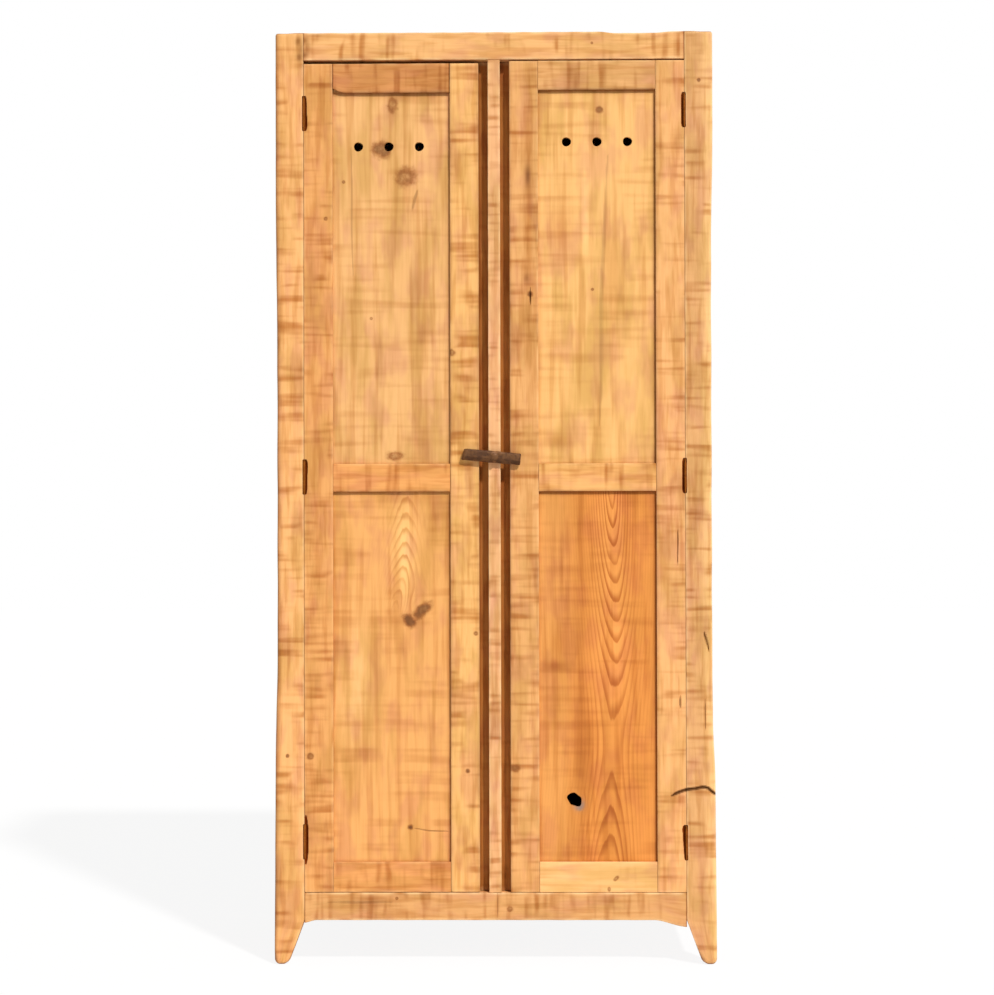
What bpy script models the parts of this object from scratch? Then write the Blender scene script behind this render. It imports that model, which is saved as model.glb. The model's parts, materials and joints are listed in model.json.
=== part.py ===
# Pine workshop cupboard: four tapered posts tenoned to rails, panelled sides, a boarded back,
# two framed and panelled doors on lift-off hinges, and a forged turn button on a fixed mullion.
# Metres, +Z up. The front looks along -Y and the floor is z = 0.

import math

import bmesh
import bpy
from mathutils import Matrix, Vector

# Carcass
WIDTH = 0.845
DEPTH = 0.450
HEIGHT = 1.800
POST_WIDTH = 0.054
POST_DEPTH = 0.042
FOOT_HEIGHT = 0.086
FOOT_TIP = 0.026
FOOT_ROUND = 0.007
SPLAY = 0.004
SPLAY_HEIGHT = 0.620
RAIL_HEIGHT = 0.053
FRONT_RAIL_THICKNESS = 0.030
SIDE_RAIL_THICKNESS = 0.024
SIDE_RAIL_SETBACK = 0.003
SIDE_MIDDLE_RAIL_Z = 0.913
REAR_RAIL_THICKNESS = 0.022
POST_ARRIS = 0.004
RAIL_ARRIS = 0.002

# The bottom rail's lower edge runs down to meet the posts
RAIL_SWEEP_DROP = {"left": 0.005, "right": 0.013}
RAIL_SWEEP_LENGTH = {"left": 0.024, "right": 0.064}
RAIL_SWEEP_STEPS = 6

# Boards inside the carcass
BACK_BOARD_COUNT = 4
BACK_BOARD_THICKNESS = 0.012
BACK_BOARD_LAP = 0.008
BACK_REBATE = 0.012
TOP_PANEL_THICKNESS = 0.018
TOP_PANEL_DROP = 0.012
FLOOR_PANEL_THICKNESS = 0.018
FLOOR_PANEL_DROP = 0.008
SHELF_THICKNESS = 0.018
SHELF_UNDERSIDES = {"lower": 0.640, "upper": 1.190}
SHELF_FRONT_CLEARANCE = 0.004
CLEAT_HEIGHT = 0.025
CLEAT_THICKNESS = 0.020
CLEAT_FRONT = 0.034

# Mullion between the doors, and the wider stop behind it that the doors close on
MULLION_WIDTH = 0.0235
STOP_WIDTH = 0.078
STOP_THICKNESS = 0.018

# Doors
DOOR_THICKNESS = 0.020
STILE_WIDTH = 0.0555
DOOR_RAIL_HEIGHT = {"middle": 0.0535, "top": 0.055}
DOOR_BOTTOM_RAIL_TOP = 0.198
DOOR_MIDDLE_RAIL_Z = 0.912
DOOR_ARRIS = 0.0015
PANEL_THICKNESS = 0.008
PANEL_RECESS = 0.006
MEETING_GAP = 0.018
HINGE_GAP = 0.0008
DOOR_BOTTOM_GAP = {"left": 0.003, "right": 0.0008}
DOOR_TOP_GAP = {"left": 0.008, "right": 0.004}

# Air holes near the top of each door, and a knot that has fallen out of one panel
VENT_COUNT = 3
VENT_RADIUS = 0.009
VENT_PITCH = 0.059
VENT_BELOW_TOP = {"left": 0.159, "right": 0.155}
VENT_SHIFT = {"left": -0.0045, "right": 0.0007}
KNOT_HOLE_LONG_RADIUS = 0.0155
KNOT_HOLE_SHORT_RADIUS = 0.0118
KNOT_HOLE_TILT = math.radians(48)
KNOT_HOLE_X = 0.153
KNOT_HOLE_Z = 0.317

# Joinery
FIT = 0.0003
GROOVE_DEPTH = 0.008
PANEL_PLAY = 0.001
TENON_SHOULDER = 0.012
DOOR_TENON_LENGTH = 0.038
FRONT_TENON_LENGTH = 0.030
FRONT_TENON_THICKNESS = 0.011
REAR_TENON_LENGTH = 0.028
REAR_TENON_THICKNESS = 0.009
SIDE_TENON_LENGTH = 0.022
MULLION_TENON_LENGTH = 0.022
MULLION_TENON_WIDTH = 0.016
MULLION_TENON_THICKNESS = 0.009

# Lift-off hinges: the lower barrel and its pin are on the post, the upper barrel is on the door
HINGE_INSET = 0.095
HINGE_HEIGHT = 0.066
LEAF_INSET = 0.004
LEAF_THICKNESS = 0.002
BARREL_RADIUS = 0.0038
PIN_RADIUS = 0.0018
PIN_CLEARANCE = 0.0003
PIN_LENGTH = 0.024
BARREL_GAP = 0.0004
BARREL_RELIEF = 0.0006

# Turn button
BUTTON_Z = 0.978
BUTTON_LEFT_ARM = 0.0635
BUTTON_RIGHT_ARM = 0.0505
BUTTON_MIDDLE_HEIGHT = 0.0235
BUTTON_END_HEIGHT = 0.0225
BUTTON_THICKNESS = 0.011
BUTTON_CHAMFER = 0.0035
BUTTON_REST_TILT = math.radians(5.4)
BOSS_RADIUS = 0.010
BOSS_HEIGHT = 0.0035
PIVOT_RADIUS = 0.004
PIVOT_CLEARANCE = 0.0003
PIVOT_HEAD_RADIUS = 0.0065
PIVOT_HEAD_HEIGHT = 0.0018
PIVOT_DEPTH_IN_STOP = 0.012

# Drawing quality
ROUND_SIDES = 24
ARRIS_SEGMENTS = 2
CUTTER_OVERRUN = 0.004

# Places worked out from the sizes above
SIDES = {"left": -1, "right": 1}
BUTTON_PROUD = BOSS_HEIGHT + FIT + BUTTON_THICKNESS + FIT + PIVOT_HEAD_HEIGHT
FRONT = (BUTTON_PROUD - DEPTH) / 2
REAR = FRONT + DEPTH
HALF_WIDTH = WIDTH / 2
HALF_OPENING = HALF_WIDTH - POST_WIDTH
RAIL_SPANS = {
    "bottom": (FOOT_HEIGHT, FOOT_HEIGHT + RAIL_HEIGHT),
    "middle": (SIDE_MIDDLE_RAIL_Z, SIDE_MIDDLE_RAIL_Z + RAIL_HEIGHT),
    "top": (HEIGHT - RAIL_HEIGHT, HEIGHT),
}
HINGE_AXIS_X = HALF_OPENING - HINGE_GAP / 2
DOOR_OUTER = HALF_OPENING - HINGE_GAP
DOOR_INNER = MULLION_WIDTH / 2 + MEETING_GAP
DOOR_BACK = FRONT + DOOR_THICKNESS
LEAF_END = DOOR_BACK - LEAF_INSET
DOOR_PANEL_Y = (FRONT + PANEL_RECESS, FRONT + PANEL_RECESS + PANEL_THICKNESS)
STOP_Y = (DOOR_BACK + FIT, DOOR_BACK + FIT + STOP_THICKNESS)
SIDE_RAIL_OUTER = HALF_WIDTH - SIDE_RAIL_SETBACK
SIDE_RAIL_INNER = SIDE_RAIL_OUTER - SIDE_RAIL_THICKNESS
SIDE_PANEL_MIDDLE = (SIDE_RAIL_OUTER + SIDE_RAIL_INNER) / 2
SIDE_PANEL_X = (SIDE_PANEL_MIDDLE - PANEL_THICKNESS / 2, SIDE_PANEL_MIDDLE + PANEL_THICKNESS / 2)
SIDE_RUN = (FRONT + POST_DEPTH + FIT, REAR - POST_DEPTH - FIT)
FRONT_RAIL_BACK = FRONT + FRONT_RAIL_THICKNESS
BACK_BOARD_Y = (REAR - BACK_BOARD_THICKNESS, REAR)
REAR_RAIL_Y = (BACK_BOARD_Y[0] - FIT - REAR_RAIL_THICKNESS, BACK_BOARD_Y[0] - FIT)
TOP_PANEL_Z = (HEIGHT - TOP_PANEL_DROP - TOP_PANEL_THICKNESS, HEIGHT - TOP_PANEL_DROP)
FLOOR_TOP = RAIL_SPANS["bottom"][1] - FLOOR_PANEL_DROP
FLOOR_PANEL_Z = (FLOOR_TOP - FLOOR_PANEL_THICKNESS, FLOOR_TOP)


# Small tools


def clear_scene():
    for old in list(bpy.data.objects):
        bpy.data.objects.remove(old, do_unlink=True)


def finish(name, colour, roughness, metallic=0.0):
    made = bpy.data.materials.new(name)
    made.use_nodes = True
    shader = made.node_tree.nodes["Principled BSDF"]
    shader.inputs["Base Color"].default_value = (*colour, 1.0)
    shader.inputs["Roughness"].default_value = roughness
    shader.inputs["Metallic"].default_value = metallic
    return made


def axis_empty(name, place):
    empty = bpy.data.objects.new(name, None)
    empty.location = place
    empty.empty_display_size = 0.05
    bpy.context.scene.collection.objects.link(empty)
    bpy.context.view_layer.update()
    return empty


def add_object(name, shape, parent, material=None):
    """Makes an object from a bmesh in world places, hung on a parent empty."""
    bmesh.ops.recalc_face_normals(shape, faces=shape.faces)
    mesh = bpy.data.meshes.new(name)
    bmesh.ops.translate(shape, verts=shape.verts, vec=-parent.location)
    shape.to_mesh(mesh)
    shape.free()
    made = bpy.data.objects.new(name, mesh)
    made.parent = parent
    bpy.context.scene.collection.objects.link(made)
    if material:
        mesh.materials.append(material)
    return made


def hide_as_helper(helper):
    helper.hide_render = True
    helper.display_type = "WIRE"


def across(side, inner, outer):
    """The x range between two distances from the middle, on the left or right side."""
    return tuple(sorted((SIDES[side] * inner, SIDES[side] * outer)))


def grown(span, by):
    return (span[0] - by, span[1] + by)


# Timber: a loft of rectangles along one axis, with tenons drawn out of its ends


def loft(axis, sections):
    """A closed four-sided shape through (place along axis, span of next axis, span of the one after)."""
    shape = bmesh.new()
    weights = shape.edges.layers.float.new("bevel_weight_edge")
    second, third = (axis + 1) % 3, (axis + 2) % 3
    rings = []
    for place, span_b, span_c in sections:
        ring = []
        for b, c in ((0, 0), (1, 0), (1, 1), (0, 1)):
            point = Vector((0, 0, 0))
            point[axis] = place
            point[second] = span_b[b]
            point[third] = span_c[c]
            ring.append(shape.verts.new(point))
        rings.append(ring)
    for low, high in zip(rings, rings[1:]):
        for i in range(4):
            j = (i + 1) % 4
            shape.faces.new((low[i], low[j], high[j], high[i]))
            shape.edges.get((low[i], high[i]))[weights] = 1.0
    shape.faces.new(rings[0][::-1])
    shape.faces.new(rings[-1])
    shape.normal_update()
    return shape


def bar(x, y, z, axis):
    """A straight piece between three spans, with its grain along the axis."""
    spans = (x, y, z)
    across_spans = (spans[(axis + 1) % 3], spans[(axis + 2) % 3])
    return loft(axis, [(place, *across_spans) for place in spans[axis]])


def draw_tenons(shape, axis, length, spans):
    """Draws a tenon out of both end faces; spans maps the other two axes to the tenon's section."""
    ends = [face for face in shape.faces if abs(face.normal[axis]) > 0.99]
    for end in ends:
        bmesh.ops.inset_individual(shape, faces=[end], thickness=FIT)
        middle = end.calc_center_median()
        for vert in end.verts:
            for other, span in spans.items():
                vert.co[other] = span[0] if vert.co[other] < middle[other] else span[1]
        drawn = bmesh.ops.extrude_discrete_faces(shape, faces=[end])["faces"][0]
        step = Vector((0, 0, 0))
        step[axis] = math.copysign(length, drawn.normal[axis])
        bmesh.ops.translate(shape, verts=drawn.verts, vec=step)


def round_arrises(piece, width):
    bevel = piece.modifiers.new("arrises", "BEVEL")
    bevel.limit_method = "WEIGHT"
    bevel.width = width
    bevel.segments = ARRIS_SEGMENTS


def boolean(piece, helper, operation="DIFFERENCE"):
    modifier = piece.modifiers.new(helper.name, "BOOLEAN")
    modifier.operation = operation
    modifier.solver = "EXACT"
    modifier.object = helper
    hide_as_helper(helper)


def cut_box(piece, label, x, y, z):
    boolean(piece, add_object(f"{piece.name}.{label}", bar(x, y, z, 2), piece.parent))


def turned(profile, centre, axis):
    """A solid of revolution from (radius, place along the axis) points, starting and ending on the axis."""
    shape = bmesh.new()
    points = [shape.verts.new((radius, 0, place)) for radius, place in profile]
    edges = [shape.edges.new(pair) for pair in zip(points, points[1:])]
    bmesh.ops.spin(
        shape,
        geom=points + edges,
        cent=(0, 0, 0),
        axis=(0, 0, 1),
        dvec=(0, 0, 0),
        angle=math.tau,
        steps=ROUND_SIDES,
        use_merge=True,
    )
    bmesh.ops.remove_doubles(shape, verts=shape.verts, dist=1e-6)
    turn = Vector((0, 0, 1)).rotation_difference(Vector(axis)).to_matrix().to_4x4()
    bmesh.ops.transform(shape, matrix=Matrix.Translation(centre) @ turn, verts=shape.verts)
    return shape


def rod(centre, axis, radius, low, high):
    return turned([(0, low), (radius, low), (radius, high), (0, high)], centre, axis)


def cut_round(piece, label, centre, axis, radius, low, high):
    helper = add_object(f"{piece.name}.{label}", rod(centre, axis, radius, low, high), piece.parent)
    boolean(piece, helper)


def extruded(outline, axis, span):
    """A flat outline, given in the two axes after this one, drawn along the axis."""
    shape = bmesh.new()
    second, third = (axis + 1) % 3, (axis + 2) % 3
    corners = []
    for b, c in outline:
        point = Vector((0, 0, 0))
        point[axis] = span[0]
        point[second] = b
        point[third] = c
        corners.append(shape.verts.new(point))
    face = shape.faces.new(corners)
    drawn = bmesh.ops.extrude_face_region(shape, geom=[face])["geom"]
    step = Vector((0, 0, 0))
    step[axis] = span[1] - span[0]
    moved = [item for item in drawn if isinstance(item, bmesh.types.BMVert)]
    bmesh.ops.translate(shape, verts=moved, vec=step)
    return shape


# Posts and rails


def post_mortise(post, label, x, y, z):
    cut_box(post, label, grown(x, FIT), grown(y, FIT), grown(z, FIT))


def tenon_span(span):
    return (span[0] + TENON_SHOULDER, span[1] - TENON_SHOULDER)


def middle_slice(span, thickness):
    middle = (span[0] + span[1]) / 2
    return (middle - thickness / 2, middle + thickness / 2)


def post_sections(side, end):
    """Rectangles up a post: the outer face splays towards the floor and the foot tapers on its inner sides."""
    sections = []
    for z, width, depth in (
        (0, FOOT_TIP, FOOT_TIP),
        (FOOT_HEIGHT, POST_WIDTH + splay_at(FOOT_HEIGHT), POST_DEPTH),
        (SPLAY_HEIGHT, POST_WIDTH, POST_DEPTH),
        (HEIGHT, POST_WIDTH, POST_DEPTH),
    ):
        outer = HALF_WIDTH + splay_at(z)
        y = (FRONT, FRONT + depth) if end == "front" else (REAR - depth, REAR)
        sections.append((z, across(side, outer - width, outer), y))
    return sections


def splay_at(z):
    return SPLAY * max(0, 1 - z / SPLAY_HEIGHT)


def build_post(side, end, root, pine):
    """A full-height corner post with worn arrises and a rounded foot."""
    shape = loft(2, post_sections(side, end))
    weights = shape.edges.layers.float["bevel_weight_edge"]
    for edge in shape.edges:
        on_floor = all(vert.co.z < FIT for vert in edge.verts)
        edge[weights] = 1.0 if on_floor else edge[weights] * POST_ARRIS / FOOT_ROUND
    post = add_object(f"{end}_post_{side}", shape, root, pine)
    round_arrises(post, FOOT_ROUND)
    cut_rail_mortises(post, side, end)
    cut_side_frame_joints(post, side, end)
    return post


def cut_rail_mortises(post, side, end):
    """Mortises in the post's inner face for the cross rails, and the rebate for the back boards."""
    if end == "front":
        length = FRONT_TENON_LENGTH
        y = middle_slice((FRONT, FRONT_RAIL_BACK), FRONT_TENON_THICKNESS)
    else:
        length = REAR_TENON_LENGTH
        y = middle_slice(REAR_RAIL_Y, REAR_TENON_THICKNESS)
    x = across(side, HALF_OPENING - CUTTER_OVERRUN, HALF_OPENING + length)
    for level in ("bottom", "top"):
        post_mortise(post, f"{level}_mortise", x, y, tenon_span(RAIL_SPANS[level]))
    if end == "rear":
        rebate_x = across(side, HALF_OPENING - CUTTER_OVERRUN, HALF_OPENING + BACK_REBATE)
        rebate_y = (BACK_BOARD_Y[0] - FIT, REAR + CUTTER_OVERRUN)
        rebate_z = (RAIL_SPANS["bottom"][0] - FIT, HEIGHT + CUTTER_OVERRUN)
        cut_box(post, "back_rebate", rebate_x, rebate_y, rebate_z)


def cut_side_frame_joints(post, side, end):
    """Mortises for the side rails and grooves for the side panels, in the face that looks along the side."""
    inward = 1 if end == "front" else -1
    face = FRONT + POST_DEPTH if end == "front" else REAR - POST_DEPTH
    tenon_x = across(side, *SIDE_PANEL_X)
    mortise_y = tuple(sorted((face + inward * CUTTER_OVERRUN, face - inward * SIDE_TENON_LENGTH)))
    for level, span in RAIL_SPANS.items():
        post_mortise(post, f"side_{level}_mortise", tenon_x, mortise_y, tenon_span(span))
    groove_y = tuple(sorted((face + inward * CUTTER_OVERRUN, face - inward * GROOVE_DEPTH)))
    for label, (low, high) in side_panel_sights().items():
        z = (low - GROOVE_DEPTH, high + GROOVE_DEPTH)
        cut_box(post, f"{label}_panel_groove", grown(tenon_x, FIT), groove_y, z)


def side_panel_sights():
    return {
        "lower": (RAIL_SPANS["bottom"][1], RAIL_SPANS["middle"][0]),
        "upper": (RAIL_SPANS["middle"][1], RAIL_SPANS["top"][0]),
    }


def bottom_rail_sections(y, z):
    """Rectangles along the bottom rail: its lower edge sweeps down in an S-curve at each end."""
    half = HALF_OPENING - FIT
    sections = []
    for side, sign in SIDES.items():
        length, drop = RAIL_SWEEP_LENGTH[side], RAIL_SWEEP_DROP[side]
        for step in range(RAIL_SWEEP_STEPS + 1):
            share = step / RAIL_SWEEP_STEPS
            lower = z[0] - drop * share * share * (3 - 2 * share)
            sections.append((sign * (half - length * (1 - share)), y, (lower, z[1])))
    return sorted(sections)


def build_front_rail(level, root, pine):
    y, z = (FRONT, FRONT_RAIL_BACK), RAIL_SPANS[level]
    if level == "bottom":
        shape = loft(0, bottom_rail_sections(y, z))
    else:
        shape = bar(grown((-HALF_OPENING, HALF_OPENING), -FIT), y, z, 0)
    tenon_y = middle_slice(y, FRONT_TENON_THICKNESS)
    draw_tenons(shape, 0, FRONT_TENON_LENGTH, {1: tenon_y, 2: tenon_span(z)})
    rail = add_object(f"{level}_rail_front", shape, root, pine)
    round_arrises(rail, RAIL_ARRIS)
    run = (-HALF_WIDTH, HALF_WIDTH)
    panel_z = TOP_PANEL_Z if level == "top" else FLOOR_PANEL_Z
    groove_y = (FRONT_RAIL_BACK - GROOVE_DEPTH, FRONT_RAIL_BACK + CUTTER_OVERRUN)
    cut_box(rail, "panel_groove", run, groove_y, grown(panel_z, FIT))
    inner_edge = z[1] if level == "bottom" else z[0]
    away = 1 if level == "bottom" else -1
    socket_z = sorted((inner_edge + away * CUTTER_OVERRUN, inner_edge - away * (MULLION_TENON_LENGTH + FIT)))
    tenon_x = (-MULLION_TENON_WIDTH / 2, MULLION_TENON_WIDTH / 2)
    tenon_y = middle_slice((FRONT, DOOR_BACK), MULLION_TENON_THICKNESS)
    cut_box(rail, "mullion_mortise", grown(tenon_x, FIT), grown(tenon_y, FIT), socket_z)


def build_rear_rail(level, root, pine):
    z = RAIL_SPANS[level]
    shape = bar(grown((-HALF_OPENING, HALF_OPENING), -FIT), REAR_RAIL_Y, z, 0)
    tenon_y = middle_slice(REAR_RAIL_Y, REAR_TENON_THICKNESS)
    draw_tenons(shape, 0, REAR_TENON_LENGTH, {1: tenon_y, 2: tenon_span(z)})
    rail = add_object(f"{level}_rail_rear", shape, root, pine)
    round_arrises(rail, RAIL_ARRIS)
    panel_z = TOP_PANEL_Z if level == "top" else FLOOR_PANEL_Z
    groove_y = (REAR_RAIL_Y[0] - CUTTER_OVERRUN, REAR_RAIL_Y[0] + GROOVE_DEPTH)
    cut_box(rail, "panel_groove", (-HALF_WIDTH, HALF_WIDTH), groove_y, grown(panel_z, FIT))


def build_side_rail(side, level, root, pine):
    z = RAIL_SPANS[level]
    shape = bar(across(side, SIDE_RAIL_INNER, SIDE_RAIL_OUTER), SIDE_RUN, z, 1)
    tenon_x = across(side, *SIDE_PANEL_X)
    draw_tenons(shape, 1, SIDE_TENON_LENGTH - FIT, {0: tenon_x, 2: tenon_span(z)})
    rail = add_object(f"side_{level}_rail_{side}", shape, root, pine)
    round_arrises(rail, RAIL_ARRIS)
    groove_x = grown(tenon_x, FIT)
    run = (FRONT, REAR)
    if level != "bottom":
        cut_box(rail, "lower_edge_groove", groove_x, run, (z[0] - CUTTER_OVERRUN, z[0] + GROOVE_DEPTH))
    if level != "top":
        cut_box(rail, "upper_edge_groove", groove_x, run, (z[1] - GROOVE_DEPTH, z[1] + CUTTER_OVERRUN))
    if level != "middle":
        panel_z = TOP_PANEL_Z if level == "top" else FLOOR_PANEL_Z
        inner_x = across(side, SIDE_RAIL_INNER - CUTTER_OVERRUN, SIDE_RAIL_INNER + flat_panel_reach())
        cut_box(rail, "panel_groove", grown(inner_x, FIT), run, grown(panel_z, FIT))


def flat_panel_reach():
    """How far the top and floor panels reach into the side rails, short of the side panels' grooves."""
    return min(GROOVE_DEPTH, (SIDE_RAIL_THICKNESS - PANEL_THICKNESS) / 2 - 4 * FIT)


def build_side_panel(side, label, sight, root, pine):
    x = across(side, *SIDE_PANEL_X)
    hidden = GROOVE_DEPTH - PANEL_PLAY
    y = grown((FRONT + POST_DEPTH, REAR - POST_DEPTH), hidden)
    add_object(f"side_{label}_panel_{side}", bar(x, y, grown(sight, hidden), 2), root, pine)


# Boards that close and divide the carcass


def build_flat_panel(name, z, root, pine):
    """A top or floor panel held in the rails' grooves and notched round the four posts."""
    reach = GROOVE_DEPTH - PANEL_PLAY
    half = SIDE_RAIL_INNER + flat_panel_reach() - PANEL_PLAY
    shape = bar((-half, half), (FRONT_RAIL_BACK - reach, REAR_RAIL_Y[0] + reach), z, 0)
    panel = add_object(name, shape, root, pine)
    deep = grown(z, CUTTER_OVERRUN)
    for side in SIDES:
        x = across(side, HALF_OPENING - PANEL_PLAY, HALF_WIDTH)
        cut_box(panel, f"front_notch_{side}", x, (FRONT, FRONT + POST_DEPTH + PANEL_PLAY), deep)
        cut_box(panel, f"rear_notch_{side}", x, (REAR - POST_DEPTH - PANEL_PLAY, REAR), deep)


def build_shelf(label, root, pine):
    underside = SHELF_UNDERSIDES[label]
    x = grown((-HALF_OPENING, HALF_OPENING), -FIT)
    y = (STOP_Y[1] + SHELF_FRONT_CLEARANCE, REAR_RAIL_Y[1])
    shelf = bar(x, y, (underside, underside + SHELF_THICKNESS), 0)
    add_object(f"shelf_{label}", shelf, root, pine)
    for side in SIDES:
        cleat_x = across(side, HALF_OPENING - FIT - CLEAT_THICKNESS, HALF_OPENING - FIT)
        cleat_y = (FRONT + CLEAT_FRONT, REAR_RAIL_Y[1])
        cleat_z = (underside - FIT - CLEAT_HEIGHT, underside - FIT)
        cleat = add_object(f"shelf_cleat_{label}_{side}", bar(cleat_x, cleat_y, cleat_z, 1), root, pine)
        round_arrises(cleat, RAIL_ARRIS)


def build_back_boards(root, pine):
    """Upright boards half-lapped at their edges, in rebates of the rear posts and on the rear rails."""
    half = HALF_OPENING + BACK_REBATE - FIT
    pitch = 2 * half / BACK_BOARD_COUNT
    front, rear = BACK_BOARD_Y
    middle = (front + rear) / 2
    z = (RAIL_SPANS["bottom"][0], HEIGHT)
    for number in range(BACK_BOARD_COUNT):
        low = -half + number * pitch
        high = low + pitch
        first, last = number == 0, number == BACK_BOARD_COUNT - 1
        left_front = low if first else low + FIT / 2
        left_rear = low if first else low + BACK_BOARD_LAP + FIT / 2
        right_front = high if last else high - FIT / 2
        right_rear = high if last else high + BACK_BOARD_LAP - FIT / 2
        outline = [(left_front, front), (right_front, front)]
        if not last:
            outline += [(right_front, middle + FIT / 2), (right_rear, middle + FIT / 2)]
        outline += [(right_rear, rear), (left_rear, rear)]
        if not first:
            outline += [(left_rear, middle - FIT / 2), (left_front, middle - FIT / 2)]
        add_object(f"back_board_{number + 1}", extruded(outline, 2, z), root, pine)


def build_mullion(root, pine, stained):
    """A narrow mullion flush with the doors, and the wider stop behind it."""
    opening = (RAIL_SPANS["bottom"][1] + FIT, RAIL_SPANS["top"][0] - FIT)
    x = (-MULLION_WIDTH / 2, MULLION_WIDTH / 2)
    y = (FRONT, DOOR_BACK)
    shape = bar(x, y, opening, 2)
    tenon_x = (-MULLION_TENON_WIDTH / 2, MULLION_TENON_WIDTH / 2)
    tenon_y = middle_slice(y, MULLION_TENON_THICKNESS)
    draw_tenons(shape, 2, MULLION_TENON_LENGTH, {0: tenon_x, 1: tenon_y})
    mullion = add_object("centre_mullion", shape, root, pine)
    round_arrises(mullion, DOOR_ARRIS)
    stop_x = (-STOP_WIDTH / 2, STOP_WIDTH / 2)
    stop = add_object("mullion_stop", bar(stop_x, STOP_Y, opening, 2), root, stained)
    round_arrises(stop, DOOR_ARRIS)
    bolt_centre = (0, FRONT, BUTTON_Z)
    bore = PIVOT_RADIUS + PIVOT_CLEARANCE
    tip = DOOR_THICKNESS + FIT + PIVOT_DEPTH_IN_STOP
    for piece in (mullion, stop):
        cut_round(piece, "pivot_bore", bolt_centre, (0, 1, 0), bore, -CUTTER_OVERRUN, tip + FIT)


# Doors


def door_levels(side):
    """The spans of a door's three rails, from its bottom gap, its middle rail and its top gap."""
    bottom = RAIL_SPANS["bottom"][1] + DOOR_BOTTOM_GAP[side]
    top = RAIL_SPANS["top"][0] - DOOR_TOP_GAP[side]
    return {
        "bottom": (bottom, DOOR_BOTTOM_RAIL_TOP),
        "middle": (DOOR_MIDDLE_RAIL_Z, DOOR_MIDDLE_RAIL_Z + DOOR_RAIL_HEIGHT["middle"]),
        "top": (top - DOOR_RAIL_HEIGHT["top"], top),
    }


def hinge_heights(side):
    levels = door_levels(side)
    low, high = levels["bottom"][0], levels["top"][1]
    return {"bottom": low + HINGE_INSET, "middle": (low + high) / 2, "top": high - HINGE_INSET}


def build_stile(side, kind, axis, pine):
    """A door stile with mortises for the rails and a groove for each panel in its inner edge."""
    levels = door_levels(side)
    if kind == "hinge":
        outer, inner = DOOR_OUTER, DOOR_OUTER - STILE_WIDTH
        inward = -1
    else:
        outer, inner = DOOR_INNER, DOOR_INNER + STILE_WIDTH
        inward = 1
    z = (levels["bottom"][0], levels["top"][1])
    shape = bar(across(side, inner, outer), (FRONT, DOOR_BACK), z, 2)
    stile = add_object(f"{side}_{kind}_stile", shape, axis, pine)
    round_arrises(stile, DOOR_ARRIS)
    groove_y = grown(DOOR_PANEL_Y, FIT)
    mouth = inner + inward * CUTTER_OVERRUN
    mortise_x = across(side, mouth, inner - inward * (DOOR_TENON_LENGTH + FIT))
    for level, span in levels.items():
        cut_box(stile, f"{level}_mortise", mortise_x, groove_y, grown(tenon_span(span), FIT))
    groove_x = across(side, mouth, inner - inward * GROOVE_DEPTH)
    for label, (low, high) in door_sights(levels).items():
        cut_box(stile, f"{label}_groove", groove_x, groove_y, (low - GROOVE_DEPTH, high + GROOVE_DEPTH))
    return stile


def door_sights(levels):
    return {
        "lower": (levels["bottom"][1], levels["middle"][0]),
        "upper": (levels["middle"][1], levels["top"][0]),
    }


def door_sight_x():
    return (DOOR_INNER + STILE_WIDTH, DOOR_OUTER - STILE_WIDTH)


def build_door_rail(side, level, axis, pine):
    z = door_levels(side)[level]
    shape = bar(across(side, *grown(door_sight_x(), -FIT)), (FRONT, DOOR_BACK), z, 0)
    draw_tenons(shape, 0, DOOR_TENON_LENGTH, {1: DOOR_PANEL_Y, 2: tenon_span(z)})
    rail = add_object(f"{side}_door_{level}_rail", shape, axis, pine)
    round_arrises(rail, DOOR_ARRIS)
    groove_y = grown(DOOR_PANEL_Y, FIT)
    run = across(side, *grown(door_sight_x(), GROOVE_DEPTH))
    if level != "bottom":
        cut_box(rail, "lower_edge_groove", run, groove_y, (z[0] - CUTTER_OVERRUN, z[0] + GROOVE_DEPTH))
    if level != "top":
        cut_box(rail, "upper_edge_groove", run, groove_y, (z[1] - GROOVE_DEPTH, z[1] + CUTTER_OVERRUN))


def build_door_panel(side, label, axis, pine):
    levels = door_levels(side)
    hidden = GROOVE_DEPTH - PANEL_PLAY
    x = across(side, *grown(door_sight_x(), hidden))
    z = grown(door_sights(levels)[label], hidden)
    panel = add_object(f"{side}_{label}_panel", bar(x, DOOR_PANEL_Y, z, 2), axis, pine)
    if label == "upper":
        cut_vents(panel, side, levels["top"][1] - VENT_BELOW_TOP[side])
    if (side, label) == ("right", "lower"):
        cut_knot_hole(panel)


def cut_vents(panel, side, height):
    middle = SIDES[side] * sum(door_sight_x()) / 2 + VENT_SHIFT[side]
    for number in range(VENT_COUNT):
        x = middle + (number - (VENT_COUNT - 1) / 2) * VENT_PITCH
        reach = (-CUTTER_OVERRUN, DOOR_THICKNESS + CUTTER_OVERRUN)
        cut_round(panel, f"vent_{number + 1}", (x, FRONT, height), (0, 1, 0), VENT_RADIUS, *reach)


def cut_knot_hole(panel):
    """An oval hole right through the panel, longer along a slope down to the right."""
    shape = rod((0, 0, 0), (0, 1, 0), 1.0, FRONT, FRONT + DOOR_THICKNESS)
    oval = Matrix.Diagonal((KNOT_HOLE_LONG_RADIUS, 1, KNOT_HOLE_SHORT_RADIUS, 1))
    place = Matrix.Translation((KNOT_HOLE_X, 0, KNOT_HOLE_Z))
    slope = Matrix.Rotation(KNOT_HOLE_TILT, 4, "Y")
    bmesh.ops.transform(shape, matrix=place @ slope @ oval, verts=shape.verts)
    boolean(panel, add_object(f"{panel.name}.knot_hole", shape, panel.parent))


# Hinges


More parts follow.
